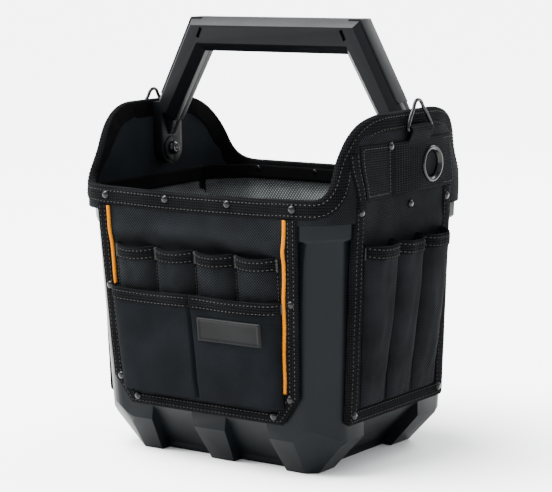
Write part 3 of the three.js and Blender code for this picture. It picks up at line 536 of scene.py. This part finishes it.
class Pocket:
    """Bulging pocket on a face: an arch in plan that deepens from its closed bottom to its open mouth.

    edges holds the mouth's two ends and foot the bottom's, arch the roundness and fall of its plan, flare how
    far each outer wall leans out, seam the depth of a crease down its middle, and seed picks its creases."""

    def __init__(self, face, edges, foot, levels, depths, arch, seed, flare=(0, 0), seam=0.0):
        self.face, self.depths, self.seed, self.flare, self.seam = face, depths, seed, flare, seam
        self.edges, self.foot = edges, foot
        self.v0, self.v1 = levels
        self.roundness, self.fall = arch

    def plan(self, s, t):
        """(u, w) on the pocket's skin for s in -1..1 across and t in 0..1 up."""
        left, right = [lerp(low, high, t) for low, high in zip(self.foot, self.edges)]
        bulge = max(0.0, 1 - abs(s) ** self.roundness) ** self.fall
        w = lerp(*self.depths, math.sin(t * math.pi / 2)) * bulge
        lean = self.flare[1 if s > 0 else 0] * bulge * abs(s) ** 5 * lerp(0.55, 1, t)
        crease = wobble((s * 26, t * 60, 0), 0.09, self.seed) * 1.3 * (1 - s * s)
        u = (left + right) / 2 + (right - left) / 2 * s + math.copysign(lean, s)
        w -= self.seam * math.exp(-(u / 1.8) ** 2) * lerp(1.7, 0.35, t ** 3)
        return u, POCKET_BASE + w + crease * min(1.0, w / 4)

    def point(self, s, t, lift=0.0):
        u, w = self.plan(s, t)
        return self.face.at(u, lerp(self.v0, self.v1, t) + self.hem(s) * t, w + lift)

    def hem(self, s):
        """The mouth dips a little between its fixed corners."""
        return -1.6 * (1 - s * s) if self.seam == 0 else -1.2 * math.sin(math.pi * s) ** 2

    def stations(self, across):
        """Values of s across the pocket, closer together at its edges and at its seam."""
        places = [math.sin(math.pi / 2 * (2 * k / across - 1)) for k in range(across + 1)]
        if self.seam:
            places = sorted(places + [k * 0.008 for k in (-4, -3, -2, -1, 1, 2, 3, 4)])
        return places

    def rows(self, stations, up=22):
        """Skin points, with two rows that close the bottom against the face."""
        rows = []
        for share in (0.02, 0.5):
            row = []
            for s in stations:
                u, w = self.plan(s, 0.0)
                row.append(self.face.at(u, self.v0 - 1.5 + share, POCKET_BASE + (w - POCKET_BASE) * share))
            rows.append(row)
        for i in range(up + 1):
            rows.append([self.point(s, i / up) for s in stations])
        return rows


def build_pocket(name, pocket, look, replaces=(), across=28):
    """The pocket's cloth, and its hem tape with two stitched rows."""
    stations = pocket.stations(across)
    rows = pocket.rows(stations)
    cloth = add_grid(name, rows, look, thickness=1.3, replaces=replaces)
    height = pocket.v1 - pocket.v0
    share = POUCH_TAPE / height
    section = ((1 - share, 0.2), (1 - share * 0.95, 1.0), (1 - share * 0.5, 1.35), (1 - share * 0.08, 1.1),
               (1 + 0.9 / height, 0.3), (1 + 0.9 / height, -1.2), (1 - share * 0.2, -1.6))
    strips = [[pocket.point(s, t, lift) for t, lift in section] for s in stations]
    add_grid(name + "_tape", strips, "edge_tape")
    for share_at in (0.2, 0.8):
        t = 1 - share * share_at
        run = []
        for k in range(61):
            s = math.sin(math.pi / 2 * (2 * k / 60 - 1)) * 0.985
            at = pocket.point(s, t, 1.25)
            run.append((at, (pocket.point(s, t, 2.3) - at).normalized()))
        add_stitches(run)


def bartack(face, u, v, w, length=8.0):
    """Dense zigzag that fixes a pocket's corner."""
    half = 1.7
    for k in range(9):
        level = v + (k / 8 - 0.5) * length
        run = [(face.at(u - half, level, w), face.w), (face.at(u + half, level, w), face.w)]
        add_stitches(run, pitch=3.6, length=3.4, width=0.5)


def seam_down(face, u, v0, v1, w):
    """Stitched line down a divider between pockets."""
    run = [(face.at(u, lerp(v1, v0, k / 12), w), face.w) for k in range(13)]
    add_stitches(run, pitch=3.6, length=2.2)


POUCH = {"half": 98.5, "foot": 95.5, "levels": (17.0, 119.0), "depths": (10.5, 15.5), "arch": (14.0, 0.5)}
TOOL = {"pitch": 48, "half": 23.6, "levels": (96, 160), "depths": (4.0, 11.5), "arch": (2.6, 0.85)}
TALL = {"pitch": 44.5, "half": 22.2, "foot": 19.6, "low": 15, "depths": (3.5, 17.0), "arch": (3.4, 0.6)}
TALL_PLACES = ((-1, "front", 169), (0, "middle", 168.5), (1, "rear", 169))  # order, name and top


def make_pouch(face):
    """The double pouch of one end: a single bulging front with a seam down its middle."""
    edges, foot = (-POUCH["half"], POUCH["half"]), (-POUCH["foot"], POUCH["foot"])
    return Pocket(face, edges, foot, POUCH["levels"], POUCH["depths"], POUCH["arch"], 5, (6.0, 3.0), 3.0)


def build_end_pockets(end):
    """Four tool pockets in a row, and below them the double pouch with its divider."""
    face = FACES[end]
    half, pitch = TOOL["half"], TOOL["pitch"]
    for i in range(4):
        centre = (i - 1.5) * pitch
        edges = (centre - half, centre + half)
        tool = Pocket(face, edges, edges, TOOL["levels"], TOOL["depths"], TOOL["arch"], i + 2)
        build_pocket(f"{end}_tool_pocket_{i + 1}", tool, "black_fabric",
                     replaces=(f"{end}_tool_pockets",) if i == 0 else ())
    for u in [k * pitch for k in (-2, -1, 0, 1, 2)]:
        bartack(face, u, 153.0, 4.6, 11)
        seam_down(face, u, 116, 144, 4.0)
    pouch = make_pouch(face)
    build_pocket(f"{end}_pouch_cloth", pouch, "pouch_fabric", replaces=(f"{end}_pouches",), across=72)
    wall = []
    for k in range(13):
        deep = pouch.plan(0, k / 12)[1] - 1.4
        wall.append([face.at(0, lerp(18, 116, k / 12), lerp(2.2, deep, j / 4)) for j in range(5)])
    add_grid(f"{end}_pouch_divider", wall, "pouch_fabric", thickness=1.0)
    for u in (-POUCH["half"], POUCH["half"]):
        bartack(face, u, 112.5, 5.0)


def build_side_pockets(side, hand):
    face = FACES[hand]
    for k, place, top in TALL_PLACES:
        centre = side * k * TALL["pitch"]
        left, right = centre - TALL["half"], centre + TALL["half"]
        foot = (centre - TALL["foot"], centre + TALL["foot"])
        tall = Pocket(face, (left, right), foot, (TALL["low"], top), TALL["depths"], TALL["arch"], k + 9)
        build_pocket(f"side_pocket_{place}_{hand}_cloth", tall, "black_fabric",
                     replaces=(f"side_pocket_{place}_{hand}",))
        bartack(face, right, top - 8, 4.6, 10)
        bartack(face, left, top - 8, 4.6, 10)


for end in ENDS:
    build_end_pockets(end)
for side, hand in SIDES:
    build_side_pockets(side, hand)

# ------ collar and ears

EAR_THICK = 7.2
EAR_MIDDLE = 3.0
EAR_TOP = 338.5
EAR_FLAT = 36  # half length of the ear's level top
RIM_SLACK = {"half": 118, "dip": 2.2}  # the rim sags between the ears
EAR_CURVE = (((EAR_FLAT, EAR_TOP), (66, EAR_TOP), (82, 327), (94, 309)),
             ((94, 309), (103, 296), (114, 268.5), (124, COLLAR["band"])))


def bezier(points, t):
    a, b, c, d = points
    k = 1 - t
    weights = (k ** 3, 3 * k * k * t, 3 * k * t * t, t ** 3)
    return tuple(sum(w * p[i] for w, p in zip(weights, (a, b, c, d))) for i in (0, 1))


EAR_SAMPLES = [bezier(curve, k / 14) for curve in EAR_CURVE for k in range(15)]


def collar_top(place):
    """Height of the collar's edge over a place on its plan."""
    y = abs(place.y - EAR_MIDDLE)
    if y <= EAR_FLAT:
        return EAR_TOP
    for (y0, z0), (y1, z1) in zip(EAR_SAMPLES, EAR_SAMPLES[1:]):
        if y0 <= y <= y1 and y1 > y0:
            return lerp(z0, z1, (y - y0) / (y1 - y0))
    inside = abs(place.x) < RIM_SLACK["half"]
    slack = math.cos(place.x / RIM_SLACK["half"] * math.pi / 2) if inside else 0
    return COLLAR["band"] - RIM_SLACK["dip"] * slack + 0.5 * wobble((place.x, place.y, 0), 0.03, 8)


def collar_loop():
    """Closed plan curve of the collar's outside as (place, outward normal), from the right side's middle."""
    radius = 50.0
    x, front, rear = COLLAR["x"], -COLLAR["front"], COLLAR["rear"]
    corners = [(x, front), (-x, front), (-x, rear), (x, rear)]
    loop = []
    for quarter, (cx, cy) in enumerate(corners):
        sx, sy = math.copysign(1, cx), math.copysign(1, cy)
        centre = Vector((cx - sx * radius, cy - sy * radius, 0))
        arc = []
        for k in range(23):
            angle = -math.pi / 2 * (quarter + k / 22)
            normal = Vector((math.cos(angle), math.sin(angle), 0))
            arc.append((centre + normal * radius, normal))
        if loop:
            loop += straight(loop[-1], arc[0])
        loop += arc
    loop += straight(loop[-1], loop[0])[:-1]
    return loop


def straight(first, last):
    (a, normal), (b, _) = first, last
    count = round((b - a).length / 3.5)
    return [(a.lerp(b, k / count), normal) for k in range(1, count)]


LOOP = collar_loop()


FRONT_BEND, REAR_BEND = (-30, 0.21), (52, 0.27)  # where a flank starts to lean in, and how steeply
BEND_EASE = 15


def bend(y, z):
    """How far an ear's flanks lean in at a place on its side, from the rim upwards."""
    (front, front_rate), (rear, rear_rate) = FRONT_BEND, REAR_BEND
    off, rate = (front - y, front_rate) if y < front else (max(0.0, y - rear), rear_rate)
    return rate * (math.hypot(off, BEND_EASE) - BEND_EASE) * smooth((z - 260) / 44)


def ripple(place, z):
    """Soft waves in the collar, small near the handle."""
    free = smooth((abs(place.y - 11) - 45) / 30)
    return wobble((place.x, place.y, z), 0.02, 4) * lerp(0.15, 0.9, free)


def collar_point(place, normal, z, off):
    inward = bend(place.y, z) * normal.x * normal.x
    return place + normal * (off + ripple(place, z)) + Vector((-math.copysign(inward, place.x), SHIFT_Y, z))


def edge_inward():
    """For each loop sample, the direction from the collar's edge into the cloth, in its own surface."""
    result = []
    count = len(LOOP)
    for i in range(count):
        first, last = LOOP[i - 1], LOOP[(i + 1) % count]
        start = collar_point(*first, collar_top(first[0]), 0)
        end = collar_point(*last, collar_top(last[0]), 0)
        tangent = (end - start).normalized()
        result.append(-LOOP[i][1].cross(tangent).normalized())
    sign = 1 if sum(step.z for step in result) < 0 else -1
    return [step * sign for step in result]


INWARD = edge_inward()


def collar_low(place, normal):
    """The collar's cloth stops short where a panel hangs in front of it."""
    if abs(normal.y) > 0.99 and abs(place.x) < 119:
        return 251.0
    if abs(normal.x) > 0.99 and abs(place.y + 7) < 82.5:
        return 262.5
    return COLLAR["low"]


def build_collar():
    """Outer cloth and inner lining as two padded sheets round the whole rim."""
    outer, lining = [], []
    for place, normal in LOOP:
        top = collar_top(place)
        low = collar_low(place, normal)
        puff = 1.3 * smooth((top - 275) / 40)
        out_row, in_row = [], []
        for k in range(17):
            fat = puff * math.sin(math.pi * k / 16)
            out_row.append(collar_point(place, normal, lerp(low, top - 3, k / 16), fat - 0.1) * MM)
            within = 0.4 - EAR_THICK - fat * 0.3
            in_row.append(collar_point(place, normal, lerp(258, top - 3, k / 16), within) * MM)
        outer.append(out_row)
        lining.append(in_row[::-1])
    solids = ("ear_outer_left", "ear_outer_right", "collar_front", "collar_back", "ear_board_left",
              "ear_board_right")
    cloth = add_grid("collar_cloth", outer, "black_fabric", thickness=1.8, close=True, replaces=solids)
    inside = add_grid("collar_lining", lining, "lining_fabric", thickness=1.0, close=True,
                      replaces=("ear_lining_left", "ear_lining_right"))


def binding_base(i):
    place, normal = LOOP[i % len(LOOP)]
    return collar_point(place, normal, collar_top(place), 0), normal


def build_collar_binding():
    """Tape folded over the collar's edge: an outer strip, and an inner one of finer tape."""
    width = 17.0
    t = EAR_THICK
    section = [(width, 0.1), (width - 0.5, 1.0), (width * 0.7, 1.5), (width * 0.3, 1.5), (1.6, 1.2)]
    section += [(-0.2, 0.2), (-1.3, -t * 0.3), (-1.3, -t * 0.7), (-0.2, 0.2 - t), (1.6, -t - 0.3)]
    section += [(width * 0.3, -t - 0.4)]
    section += [(width * 0.7, -t - 0.4), (width - 0.5, -t - 0.2), (width, 0.3 - t)]
    fold = 8  # where in the section the inner strip takes over
    rows, inner = [], []
    for i in range(len(LOOP)):
        base, normal = binding_base(i)
        swell = [1 + 0.12 * wobble((i * 3.1, a, 0), 0.12, 5) for a, b in section]
        points = [(base + INWARD[i] * a + normal * b * k) * MM for (a, b), k in zip(section, swell)]
        rows.append(points[:fold + 1])
        inner.append(points[fold:])
    add_grid("collar_binding", rows, "edge_tape", close=True, subdivide=1, replaces=(
        "ear_binding_left", "ear_binding_right", "rim_binding_front", "rim_binding_back"))
    add_grid("collar_binding_inside", inner, "inner_tape", close=True, subdivide=1)
    for a, b in ((3.0, 1.5), (13.6, 1.5)):
        run = []
        for i in range(len(LOOP) + 1):
            base, normal = binding_base(i)
            run.append(((base + INWARD[i % len(LOOP)] * a + normal * b) * MM, normal))
        add_stitches(run)


build_collar()
build_collar_binding()

# ------ gear on the ears

def ear_point(side, y, z, off):
    """World place on an ear's outside, `off` millimetres above its cloth."""
    return Vector((side * (COLLAR["x"] + off - bend(y, z)), y + SHIFT_Y, z)) * MM


WEB = {"y0": DRAWN_WEB_FRONT, "y1": 78.0, "z0": 262.0, "z1": 312.0, "ribs": (-30.0, 14.0), "eye_end": 56.0,
       "pitch": 4.2, "seam": 3.5}
EYE = {"y": 35.0, "z": 286.0, "hole": 12.2}


def web_height(y, z):
    """Relief of the wide webbing: flat stitched ends, a ribbed middle and a thicker part round the eyelet."""
    low, high = WEB["ribs"]
    body = lerp(1.4, 3.2, smooth((y - low + 4) / 5)) if y < WEB["eye_end"] else 1.3
    if low < y < high:
        rib = abs(math.sin(math.pi * (y - low) / WEB["pitch"]))
        body += 0.85 * rib ** 0.6 - 0.85 + 0.9 * math.sin(math.pi * (y - low) / (high - low))
    lip = min(z - WEB["z0"], WEB["z1"] - z)
    return 1.0 + body * smooth(0.35 + lip / 1.6)


def build_web(side, hand):
    """Wide webbing on an ear, open at the eyelet, with a stitched frame at each end."""
    columns, levels = 220, 40
    across = [lerp(WEB["y0"], WEB["y1"], k / columns) for k in range(columns + 1)]
    up = [lerp(WEB["z0"], WEB["z1"], k / levels) for k in range(levels + 1)]
    edge = EYE["hole"] + 1.0
    verts, index, faces = [], {}, []
    for i, y in enumerate(across):
        for j, z in enumerate(up):
            dy, dz = y - EYE["y"], z - EYE["z"]
            reach = math.hypot(dy, dz)
            if reach < EYE["hole"] - 2.5:
                continue
            if reach < edge:
                dy, dz = dy * edge / reach, dz * edge / reach
            index[i, j] = len(verts)
            verts.append(ear_point(side, EYE["y"] + dy, EYE["z"] + dz, web_height(y, z)))
    for i in range(columns):
        for j in range(levels):
            keys = [(i, j), (i + 1, j), (i + 1, j + 1), (i, j + 1)]
            if all(key in index for key in keys):
                quad = [index[key] for key in keys]
                faces.append(tuple(quad if side > 0 else quad[::-1]))
    band = add_object(f"web_band_cloth_{hand}", verts, faces, "webbing", (f"web_band_{hand}",))
    thickened(band, 1.9, even=False)
    outward = Vector((side, 0, 0))
    z0, z1 = WEB["z0"] + WEB["seam"], WEB["z1"] - WEB["seam"]
    for y0, y1 in ((WEB["y0"] + 3, WEB["ribs"][0] - 6), (WEB["eye_end"] + 2, WEB["y1"] - 3)):
        corners = [(y0, z0), (y1, z0), (y1, z1), (y0, z1), (y0, z0)]
        for (ya, za), (yb, zb) in zip(corners, corners[1:]):
            spots = [ear_point(side, lerp(ya, yb, k / 10), lerp(za, zb, k / 10), 2.85) for k in range(11)]
            add_stitches([(spot, outward) for spot in spots], pitch=3.4)


def circle(axis, steps):
    """Unit directions spread evenly round an axis."""
    first = axis.orthogonal().normalized()
    second = axis.cross(first)
    angles = [2 * math.pi * k / steps for k in range(steps)]
    return [first * math.cos(angle) + second * math.sin(angle) for angle in angles]


def lathe(name, profile, centre, axis, steps, replaces):
    """Turned metal piece: profile is (radius, height) in millimetres about `axis`, centre in metres."""
    rows = [[centre + (radial * r + axis * h) * MM for r, h in profile] for radial in circle(axis, steps)]
    closed_up(add_grid(name, rows, "dark_metal", close=True, replaces=replaces))


EYELET_PROFILE = [(12.3, -2.6), (12.0, -1.0), (12.4, 0.6), (13.6, 2.2), (14.6, 3.0), (15.6, 3.5), (16.6, 3.4),
                  (17.4, 2.6), (17.5, 1.6), (16.4, 1.2), (14.6, 1.0), (13.6, -0.4), (13.4, -2.6)]
EYELET_PROFILE.append(EYELET_PROFILE[0])


def build_eyelet(side, hand):
    centre = ear_point(side, EYE["y"], EYE["z"], 2.8)
    lathe(f"grommet_eyelet_{hand}", EYELET_PROFILE, centre, Vector((side, 0, 0)), 48, (f"grommet_{hand}",))


def build_ring_tab(side, hand):
    """Webbing loop round the ring's bar, its two layers running down behind the wide webbing."""
    low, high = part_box(f"ring_tab_{hand}")
    ring_low, ring_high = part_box(f"d_ring_{hand}")
    bar = Vector(((ring_low.x + ring_high.x) / 2, (low.y + high.y) / 2, ring_low.z + 0.002))
    half = (high.y - low.y) / 2
    section = [(-4.7, -16.5), (-4.9, -8.0), (-4.2, -2.0)]
    section += [(-4.0 * math.cos(a), 4.0 * math.sin(a)) for a in [math.pi * k / 12 for k in range(0, 13)]]
    section += [(3.7, -2.0), (1.6, -5.5), (-0.4, -9.0), (-1.6, -14.0), (-1.8, -17.5)]
    rows = []
    for k in range(13):
        y = lerp(-half, half, k / 12)
        pinch = 1 - 0.06 * math.cos(math.pi * (k / 12 - 0.5) * 2)
        rows.append([bar + Vector((side * a * MM, y * pinch, b * MM)) for a, b in section])
    if side > 0:
        rows = rows[::-1]
    add_grid(f"ring_tab_loop_{hand}", rows, "webbing", 1.5, subdivide=1, replaces=(f"ring_tab_{hand}",))
    outward = Vector((side, 0, 0))
    for z, x in ((-7.5, 0.9), (-9.5, 0.1)):
        run = []
        for k in range(9):
            y = lerp(-half, half, k / 8) * 0.94
            run.append((bar + Vector((side * x * MM, y, z * MM)), outward))
        add_stitches(run, pitch=3.2)


for side, hand in SIDES:
    build_web(side, hand)
    build_eyelet(side, hand)
    build_ring_tab(side, hand)

# ------ rivets

RIVET_PROFILE = [(0, 1.9), (1.3, 1.85), (2.5, 1.45), (3.4, 0.75), (3.9, 0.1), (3.9, -0.5), (0, -0.5)]
RIVET_STEPS = 16


def rivet_group(name, places, replaces=()):
    """One object holding several domed caps, each given by (place in metres, outward direction)."""
    verts, faces = [], []
    quads = grid_faces(RIVET_STEPS, len(RIVET_PROFILE), close=True)
    for place, normal in places:
        faces += [tuple(len(verts) + k for k in quad) for quad in quads]
        for radial in circle(normal.normalized(), RIVET_STEPS):
            verts += [place + (radial * r + normal.normalized() * h) * MM for r, h in RIVET_PROFILE]
    closed_up(add_object(name, verts, faces, "dark_metal", replaces))


def collar_spot(x, y, out):
    """Cap on the rim band, at its one height."""
    return Vector((x, y + SHIFT_Y, 258)) * MM, Vector((0, out, 0))


RIM_X = (-107, -33, 41, 115)
END_SPOTS = ((108.5, 117), (102, 26), (82.5, 7.5))
SIDE_SPOTS = ((-74, 8.5), (-74, 200), (74, 8.5), (74, 200))
EAR_SPOTS = ((2, 251, 0.9), (-35, 309, 3.6))


def build_rim_rivets():
    """Each rivet shows a cap outside the rim and another inside it."""
    front, rear = -COLLAR["front"] - 1.7, COLLAR["rear"] + 1.7
    through = EAR_THICK + 3.4
    spots = []
    for y, out in ((front, -1), (rear, 1), (front + through, 1), (rear - through, -1)):
        spots += [collar_spot(x, y, out) for x in RIM_X]
    rivet_group("rim_rivets", spots, replaces=[f"rim_rivet_{i}" for i in range(1, 5)])


build_rim_rivets()
for end in ENDS:
    face = FACES[end]
    spots = [(face.at(side * u, v, 3.7), face.w) for side in (-1, 1) for u, v in END_SPOTS]
    solids = ("panel_rivet_left", "panel_rivet_right") if end == "front" else ()
    rivet_group(f"panel_rivets_{end}", spots, solids)
for side, hand in SIDES:
    face = FACES[hand]
    spots = [(face.at(u, v, 3.7), face.w) for u, v in SIDE_SPOTS]
    spots += [(ear_point(side, *spot), Vector((side, 0, 0))) for spot in EAR_SPOTS]
    rivet_group(f"side_rivets_{hand}_caps", spots)

# ------ handle and bolts

PIVOT_Z = 288.7
PIVOT_Y = 11.0
BOLT_SEAT = 136.4  # how far out the bolt's head sits against the ear's lining
BOLT_PROFILE = [(0, 4.4), (1.6, 4.4), (2.3, 4.2), (2.5, 2.2), (2.6, 4.3), (4.6, 4.0), (6.2, 2.7), (7.0, 1.0),
                (7.0, 0.0), (3.9, -0.2), (3.9, -14.0), (0, -14.0)]
HANDLE_RADII = {"front_shell": 0.8, "rear_shell": 0.8, "trim_right": 0.5, "trim_left": 0.5}

for part, radius in HANDLE_RADII.items():
    node_name = "handle_" + part
    bevelled(from_frame(node_name, node_name + "_body", "handle_plastic", "handle"), radius, 3, 24)
for side, hand in SIDES:
    head = Vector((side * BOLT_SEAT, PIVOT_Y + SHIFT_Y, PIVOT_Z)) * MM
    lathe(f"pivot_bolt_button_{hand}", BOLT_PROFILE, head, Vector((-side, 0, 0)), 32, (f"pivot_bolt_{hand}",))

# ------ liner

# Height, then half width, front, rear and corner leg of the liner's outside there.
LINER_LEVELS = ((58, 134.9, 106.1, 98.3, 22.0), (227, 141.5, 114.6, 109.8, 22.0),
                (238, 149.6, 122.6, 117.8, 31.0), (260, 150.2, 123.2, 118.4, 31.0))


def liner_size(z):
    """Half width, front, rear and corner leg of the liner's outside at a height."""
    if z <= LINER_LEVELS[0][0]:
        return LINER_LEVELS[0][1:]
    for low, high in zip(LINER_LEVELS, LINER_LEVELS[1:]):
        if z <= high[0]:
            t = (z - low[0]) / (high[0] - low[0])
            return tuple(lerp(a, b, t) for a, b in zip(low[1:], high[1:]))
    return LINER_LEVELS[-1][1:]


def liner_plan(z, inset=0.0, count=168):
    """Points round the liner at a height, evenly spaced, starting in the middle of the right side."""
    x, front, rear, leg = liner_size(z)
    x, front, rear = x - inset, front - inset, rear - inset
    leg -= inset * 0.6
    corners = [(x, 0), (x, leg - front), (x - leg, -front), (leg - x, -front), (-x, leg - front),
               (-x, rear - leg), (leg - x, rear), (x - leg, rear), (x, rear - leg), (x, 0)]
    legs = [math.dist(a, b) for a, b in zip(corners, corners[1:])]
    total = sum(legs)
    points = []
    for k in range(count):
        want, i = total * k / count, 0
        while want > legs[i]:
            want -= legs[i]
            i += 1
        (ax, ay), (bx, by) = corners[i], corners[i + 1]
        t = want / legs[i]
        points.append(Vector((lerp(ax, bx, t), lerp(ay, by, t), z)))
    return points


def liner_fold(place, z):
    """How far the loose lining stands in from the wall."""
    fade = smooth((236 - z) / 16)
    long = 3.4 * (0.5 + 0.5 * math.sin(place.x / 13.0 + z / 30.0 + place.y / 19.0)) ** 2
    cross = 3.0 * math.exp(-((z - 214 - 14 * math.sin(place.x / 31.0)) / 8.0) ** 2)
    small = 1.2 * (1 + wobble((place.x, place.y, z), 0.045, 21))
    return fade * (long + cross + small) + 0.3


LINER_CORNER = 46  # the lining's bottom edge curves in over this height
FLOOR_SHARES = (0.02, 0.3, 0.6, 0.85)


def build_liner():
    """Loose lining from the floor up to the rim band, with long and cross folds."""
    levels = [16, 20, 28, 42] + [58 + k * 6.2 for k in range(30)] + [242, 247, 252, 257, 260.5]
    walls = []
    for z in levels:
        deep = 44 * (1 - smooth((z - 12) / LINER_CORNER))
        ring = []
        for place in liner_plan(z):
            toward = Vector((-place.x, -place.y, 0)).normalized()
            ring.append((place + toward * (deep + liner_fold(place, z)) + Vector((0, SHIFT_Y, 0))) * MM)
        walls.append(ring + ring[:1])
    floor = []
    middle = Vector((0, SHIFT_Y * MM, 0))
    for share in FLOOR_SHARES:
        spots = [p.lerp(middle, 1 - share) for p in walls[0]]
        floor.append([Vector((p.x, p.y, lerp(0.0142, 0.016, share))) for p in spots])
    cloth = add_grid("liner_cloth", floor + walls, "liner_fabric", 0.9, subdivide=1, replaces=("liner",))


def build_liner_band():
    """Black tape round the top of the lining."""
    rows = []
    for z in (247.5, 248.0, 251, 254, 257, 259.5, 261.6, 262.0):
        edge = 0.5 if 248 <= z <= 261.6 else 0.0
        ring = []
        for place in liner_plan(min(z, 260), 1.5):
            toward = Vector((-place.x, -place.y, 0)).normalized()
            stand = edge + 0.3 * wobble(place, 0.03, 6)
            ring.append((Vector((place.x, place.y + SHIFT_Y, z)) + toward * stand) * MM)
        rows.append(ring + ring[:1])
    add_grid("liner_top_band", rows, "inner_tape", thickness=0.9, replaces=("liner_band",))


build_liner()
build_liner_band()

# ------ piping and patch

PIPING = {"u0": 105.3, "u1": 96.3, "v0": 196, "v1": 31, "radius": 1.75, "sides": 12}


def build_piping(end, side, hand):
    """Round cord, closed at both ends, that runs down the panel and follows its loose cloth."""
    last, sides = 60, PIPING["sides"]
    path = []
    for k in range(last + 1):
        t = k / last
        u = side * (lerp(PIPING["u0"], PIPING["u1"], t) + 0.35 * math.sin(t * 21 + side))
        v = lerp(PIPING["v0"], PIPING["v1"], t)
        lift = 3.0 + panel_relief(end, u, v) * 0.9 + 0.25 * wobble((u, v, 0), 0.06, 14)
        path.append(FACES[end].at(u, v, lift))
    rows = [[path[0]] * (sides + 1)]
    for i, place in enumerate(path):
        along = (path[min(i + 1, last)] - path[max(i - 1, 0)]).normalized()
        ring = [place + radial * PIPING["radius"] * MM for radial in circle(along, sides)]
        rows.append(ring + ring[:1])
    rows.append([path[-1]] * (sides + 1))
    name = f"{end}_piping_cord_{hand}"
    closed_up(add_grid(name, rows, "orange_piping", replaces=(f"{end}_piping_{hand}",)))


for end in ENDS:
    for side, hand in SIDES:
        build_piping(end, side, hand)

PATCH = {"u": 46.5, "v": 88.0, "width": 74.0, "height": 23.0}


def build_patch():
    """Blank rubber badge with a raised border, curved with the pouch it is sewn to."""
    face = FACES["front"]
    pouch = make_pouch(face)
    low, high = POUCH["levels"]
    width, height = PATCH["width"], PATCH["height"]
    columns, levels = 60, 24
    rows = []
    for i in range(-2, levels + 3):
        b = max(0.0, min(1.0, i / levels))
        row = []
        for j in range(-2, columns + 3):
            a = max(0.0, min(1.0, j / columns))
            from_edge = min(min(a, 1 - a) * width, min(b, 1 - b) * height)
            u = PATCH["u"] + (a - 0.5) * width
            v = PATCH["v"] + (b - 0.5) * height
            t = (v - low) / (high - low)
            seat = pouch.plan(u / lerp(POUCH["foot"], POUCH["half"], t), t)[1]
            rim = 2.0 * smooth(from_edge / 0.8) - 0.8 * smooth((from_edge - 2.4) / 0.7)
            outside = i < 0 or i > levels or j < 0 or j > columns
            row.append(face.at(u, v, seat + (0.1 if outside else 0.35 + rim)))
        rows.append(row)
    add_grid("front_patch_badge", rows, "patch_rubber", replaces=("front_patch",))


build_patch()

# ------ rings

for _, hand in SIDES:
    rounded(from_frame(f"d_ring_{hand}", f"d_ring_{hand}_wire", "dark_metal", f"d_ring_{hand}"), 2)

# ------ side tape above the panels

STRIP = {"y0": -88.5, "y1": -75.5, "low": 255.0, "high": 305.0}


def build_side_strip(side, hand):
    """Tape that runs on from the side panel's front edge up the ear, beside the wide webbing."""
    low, high = STRIP["low"], STRIP["high"]
    rows = []
    for i in range(21):
        z = lerp(low, high, i / 20)
        row = []
        for j in range(9):
            y = lerp(STRIP["y0"], STRIP["y1"], j / 8)
            crown = 2.9 if 0 < j < 8 else 0.8
            row.append(ear_point(side, y, z, crown + 0.3 * wobble((y, z, 0), 0.08, 17)))
        rows.append(row if side > 0 else row[::-1])
    add_grid(f"ear_tape_strip_{hand}", rows, "edge_tape", thickness=1.2)
    for y in (STRIP["y0"] + 2.6, STRIP["y1"] - 2.6):
        spots = [ear_point(side, y, lerp(low + 8, high, k / 12), 3.0) for k in range(13)]
        add_stitches([(spot, Vector((side, 0, 0))) for spot in spots])


for side, hand in SIDES:
    build_side_strip(side, hand)

# ------ stitching, floor and light

add_object("stitching", stitch_verts, stitch_faces, "thread")


def add_floor():
    bpy.ops.mesh.primitive_plane_add(size=30, location=(0, 0, -0.0004))
    floor = bpy.context.object
    floor.name = "floor"
    floor.data.materials.append(new_material("floor", (0.9, 0.9, 0.9), 0.9, specular=0.2))


def add_light(name, kind, power, toward):
    """Light that shines from the direction `toward` points in."""
    data = bpy.data.lights.new(name, kind)
    data.energy = power
    light = bpy.data.objects.new(name, data)
    bpy.context.scene.collection.objects.link(light)
    light.rotation_euler = toward.to_track_quat("Z", "Y").to_euler()
    return light


def add_area(name, place, power):
    """Soft square light aimed at the middle of the object."""
    light = add_light(name, "AREA", power, Vector(place) - Vector((0, 0, 0.2)))
    light.data.size = 1.2
    light.location = place


def add_sun(toward, strength, spread):
    """Broad overhead light that also keeps the floor evenly bright far out."""
    add_light("overhead", "SUN", strength, Vector(toward)).data.angle = math.radians(spread)


def add_world(colour, strength):
    world = bpy.data.worlds.new("studio")
    bpy.context.scene.world = world
    world.use_nodes = True
    background = world.node_tree.nodes["Background"]
    background.inputs[0].default_value = (*colour, 1)
    background.inputs[1].default_value = strength


add_floor()
add_world((0.96, 0.98, 1), 2.0)
add_sun((-0.55, -0.35, 1.5), 18.0, 50)
add_area("key", (-1.9, -1.5, 1.7), 90)
add_area("back", (0.4, 2.0, 1.8), 60)
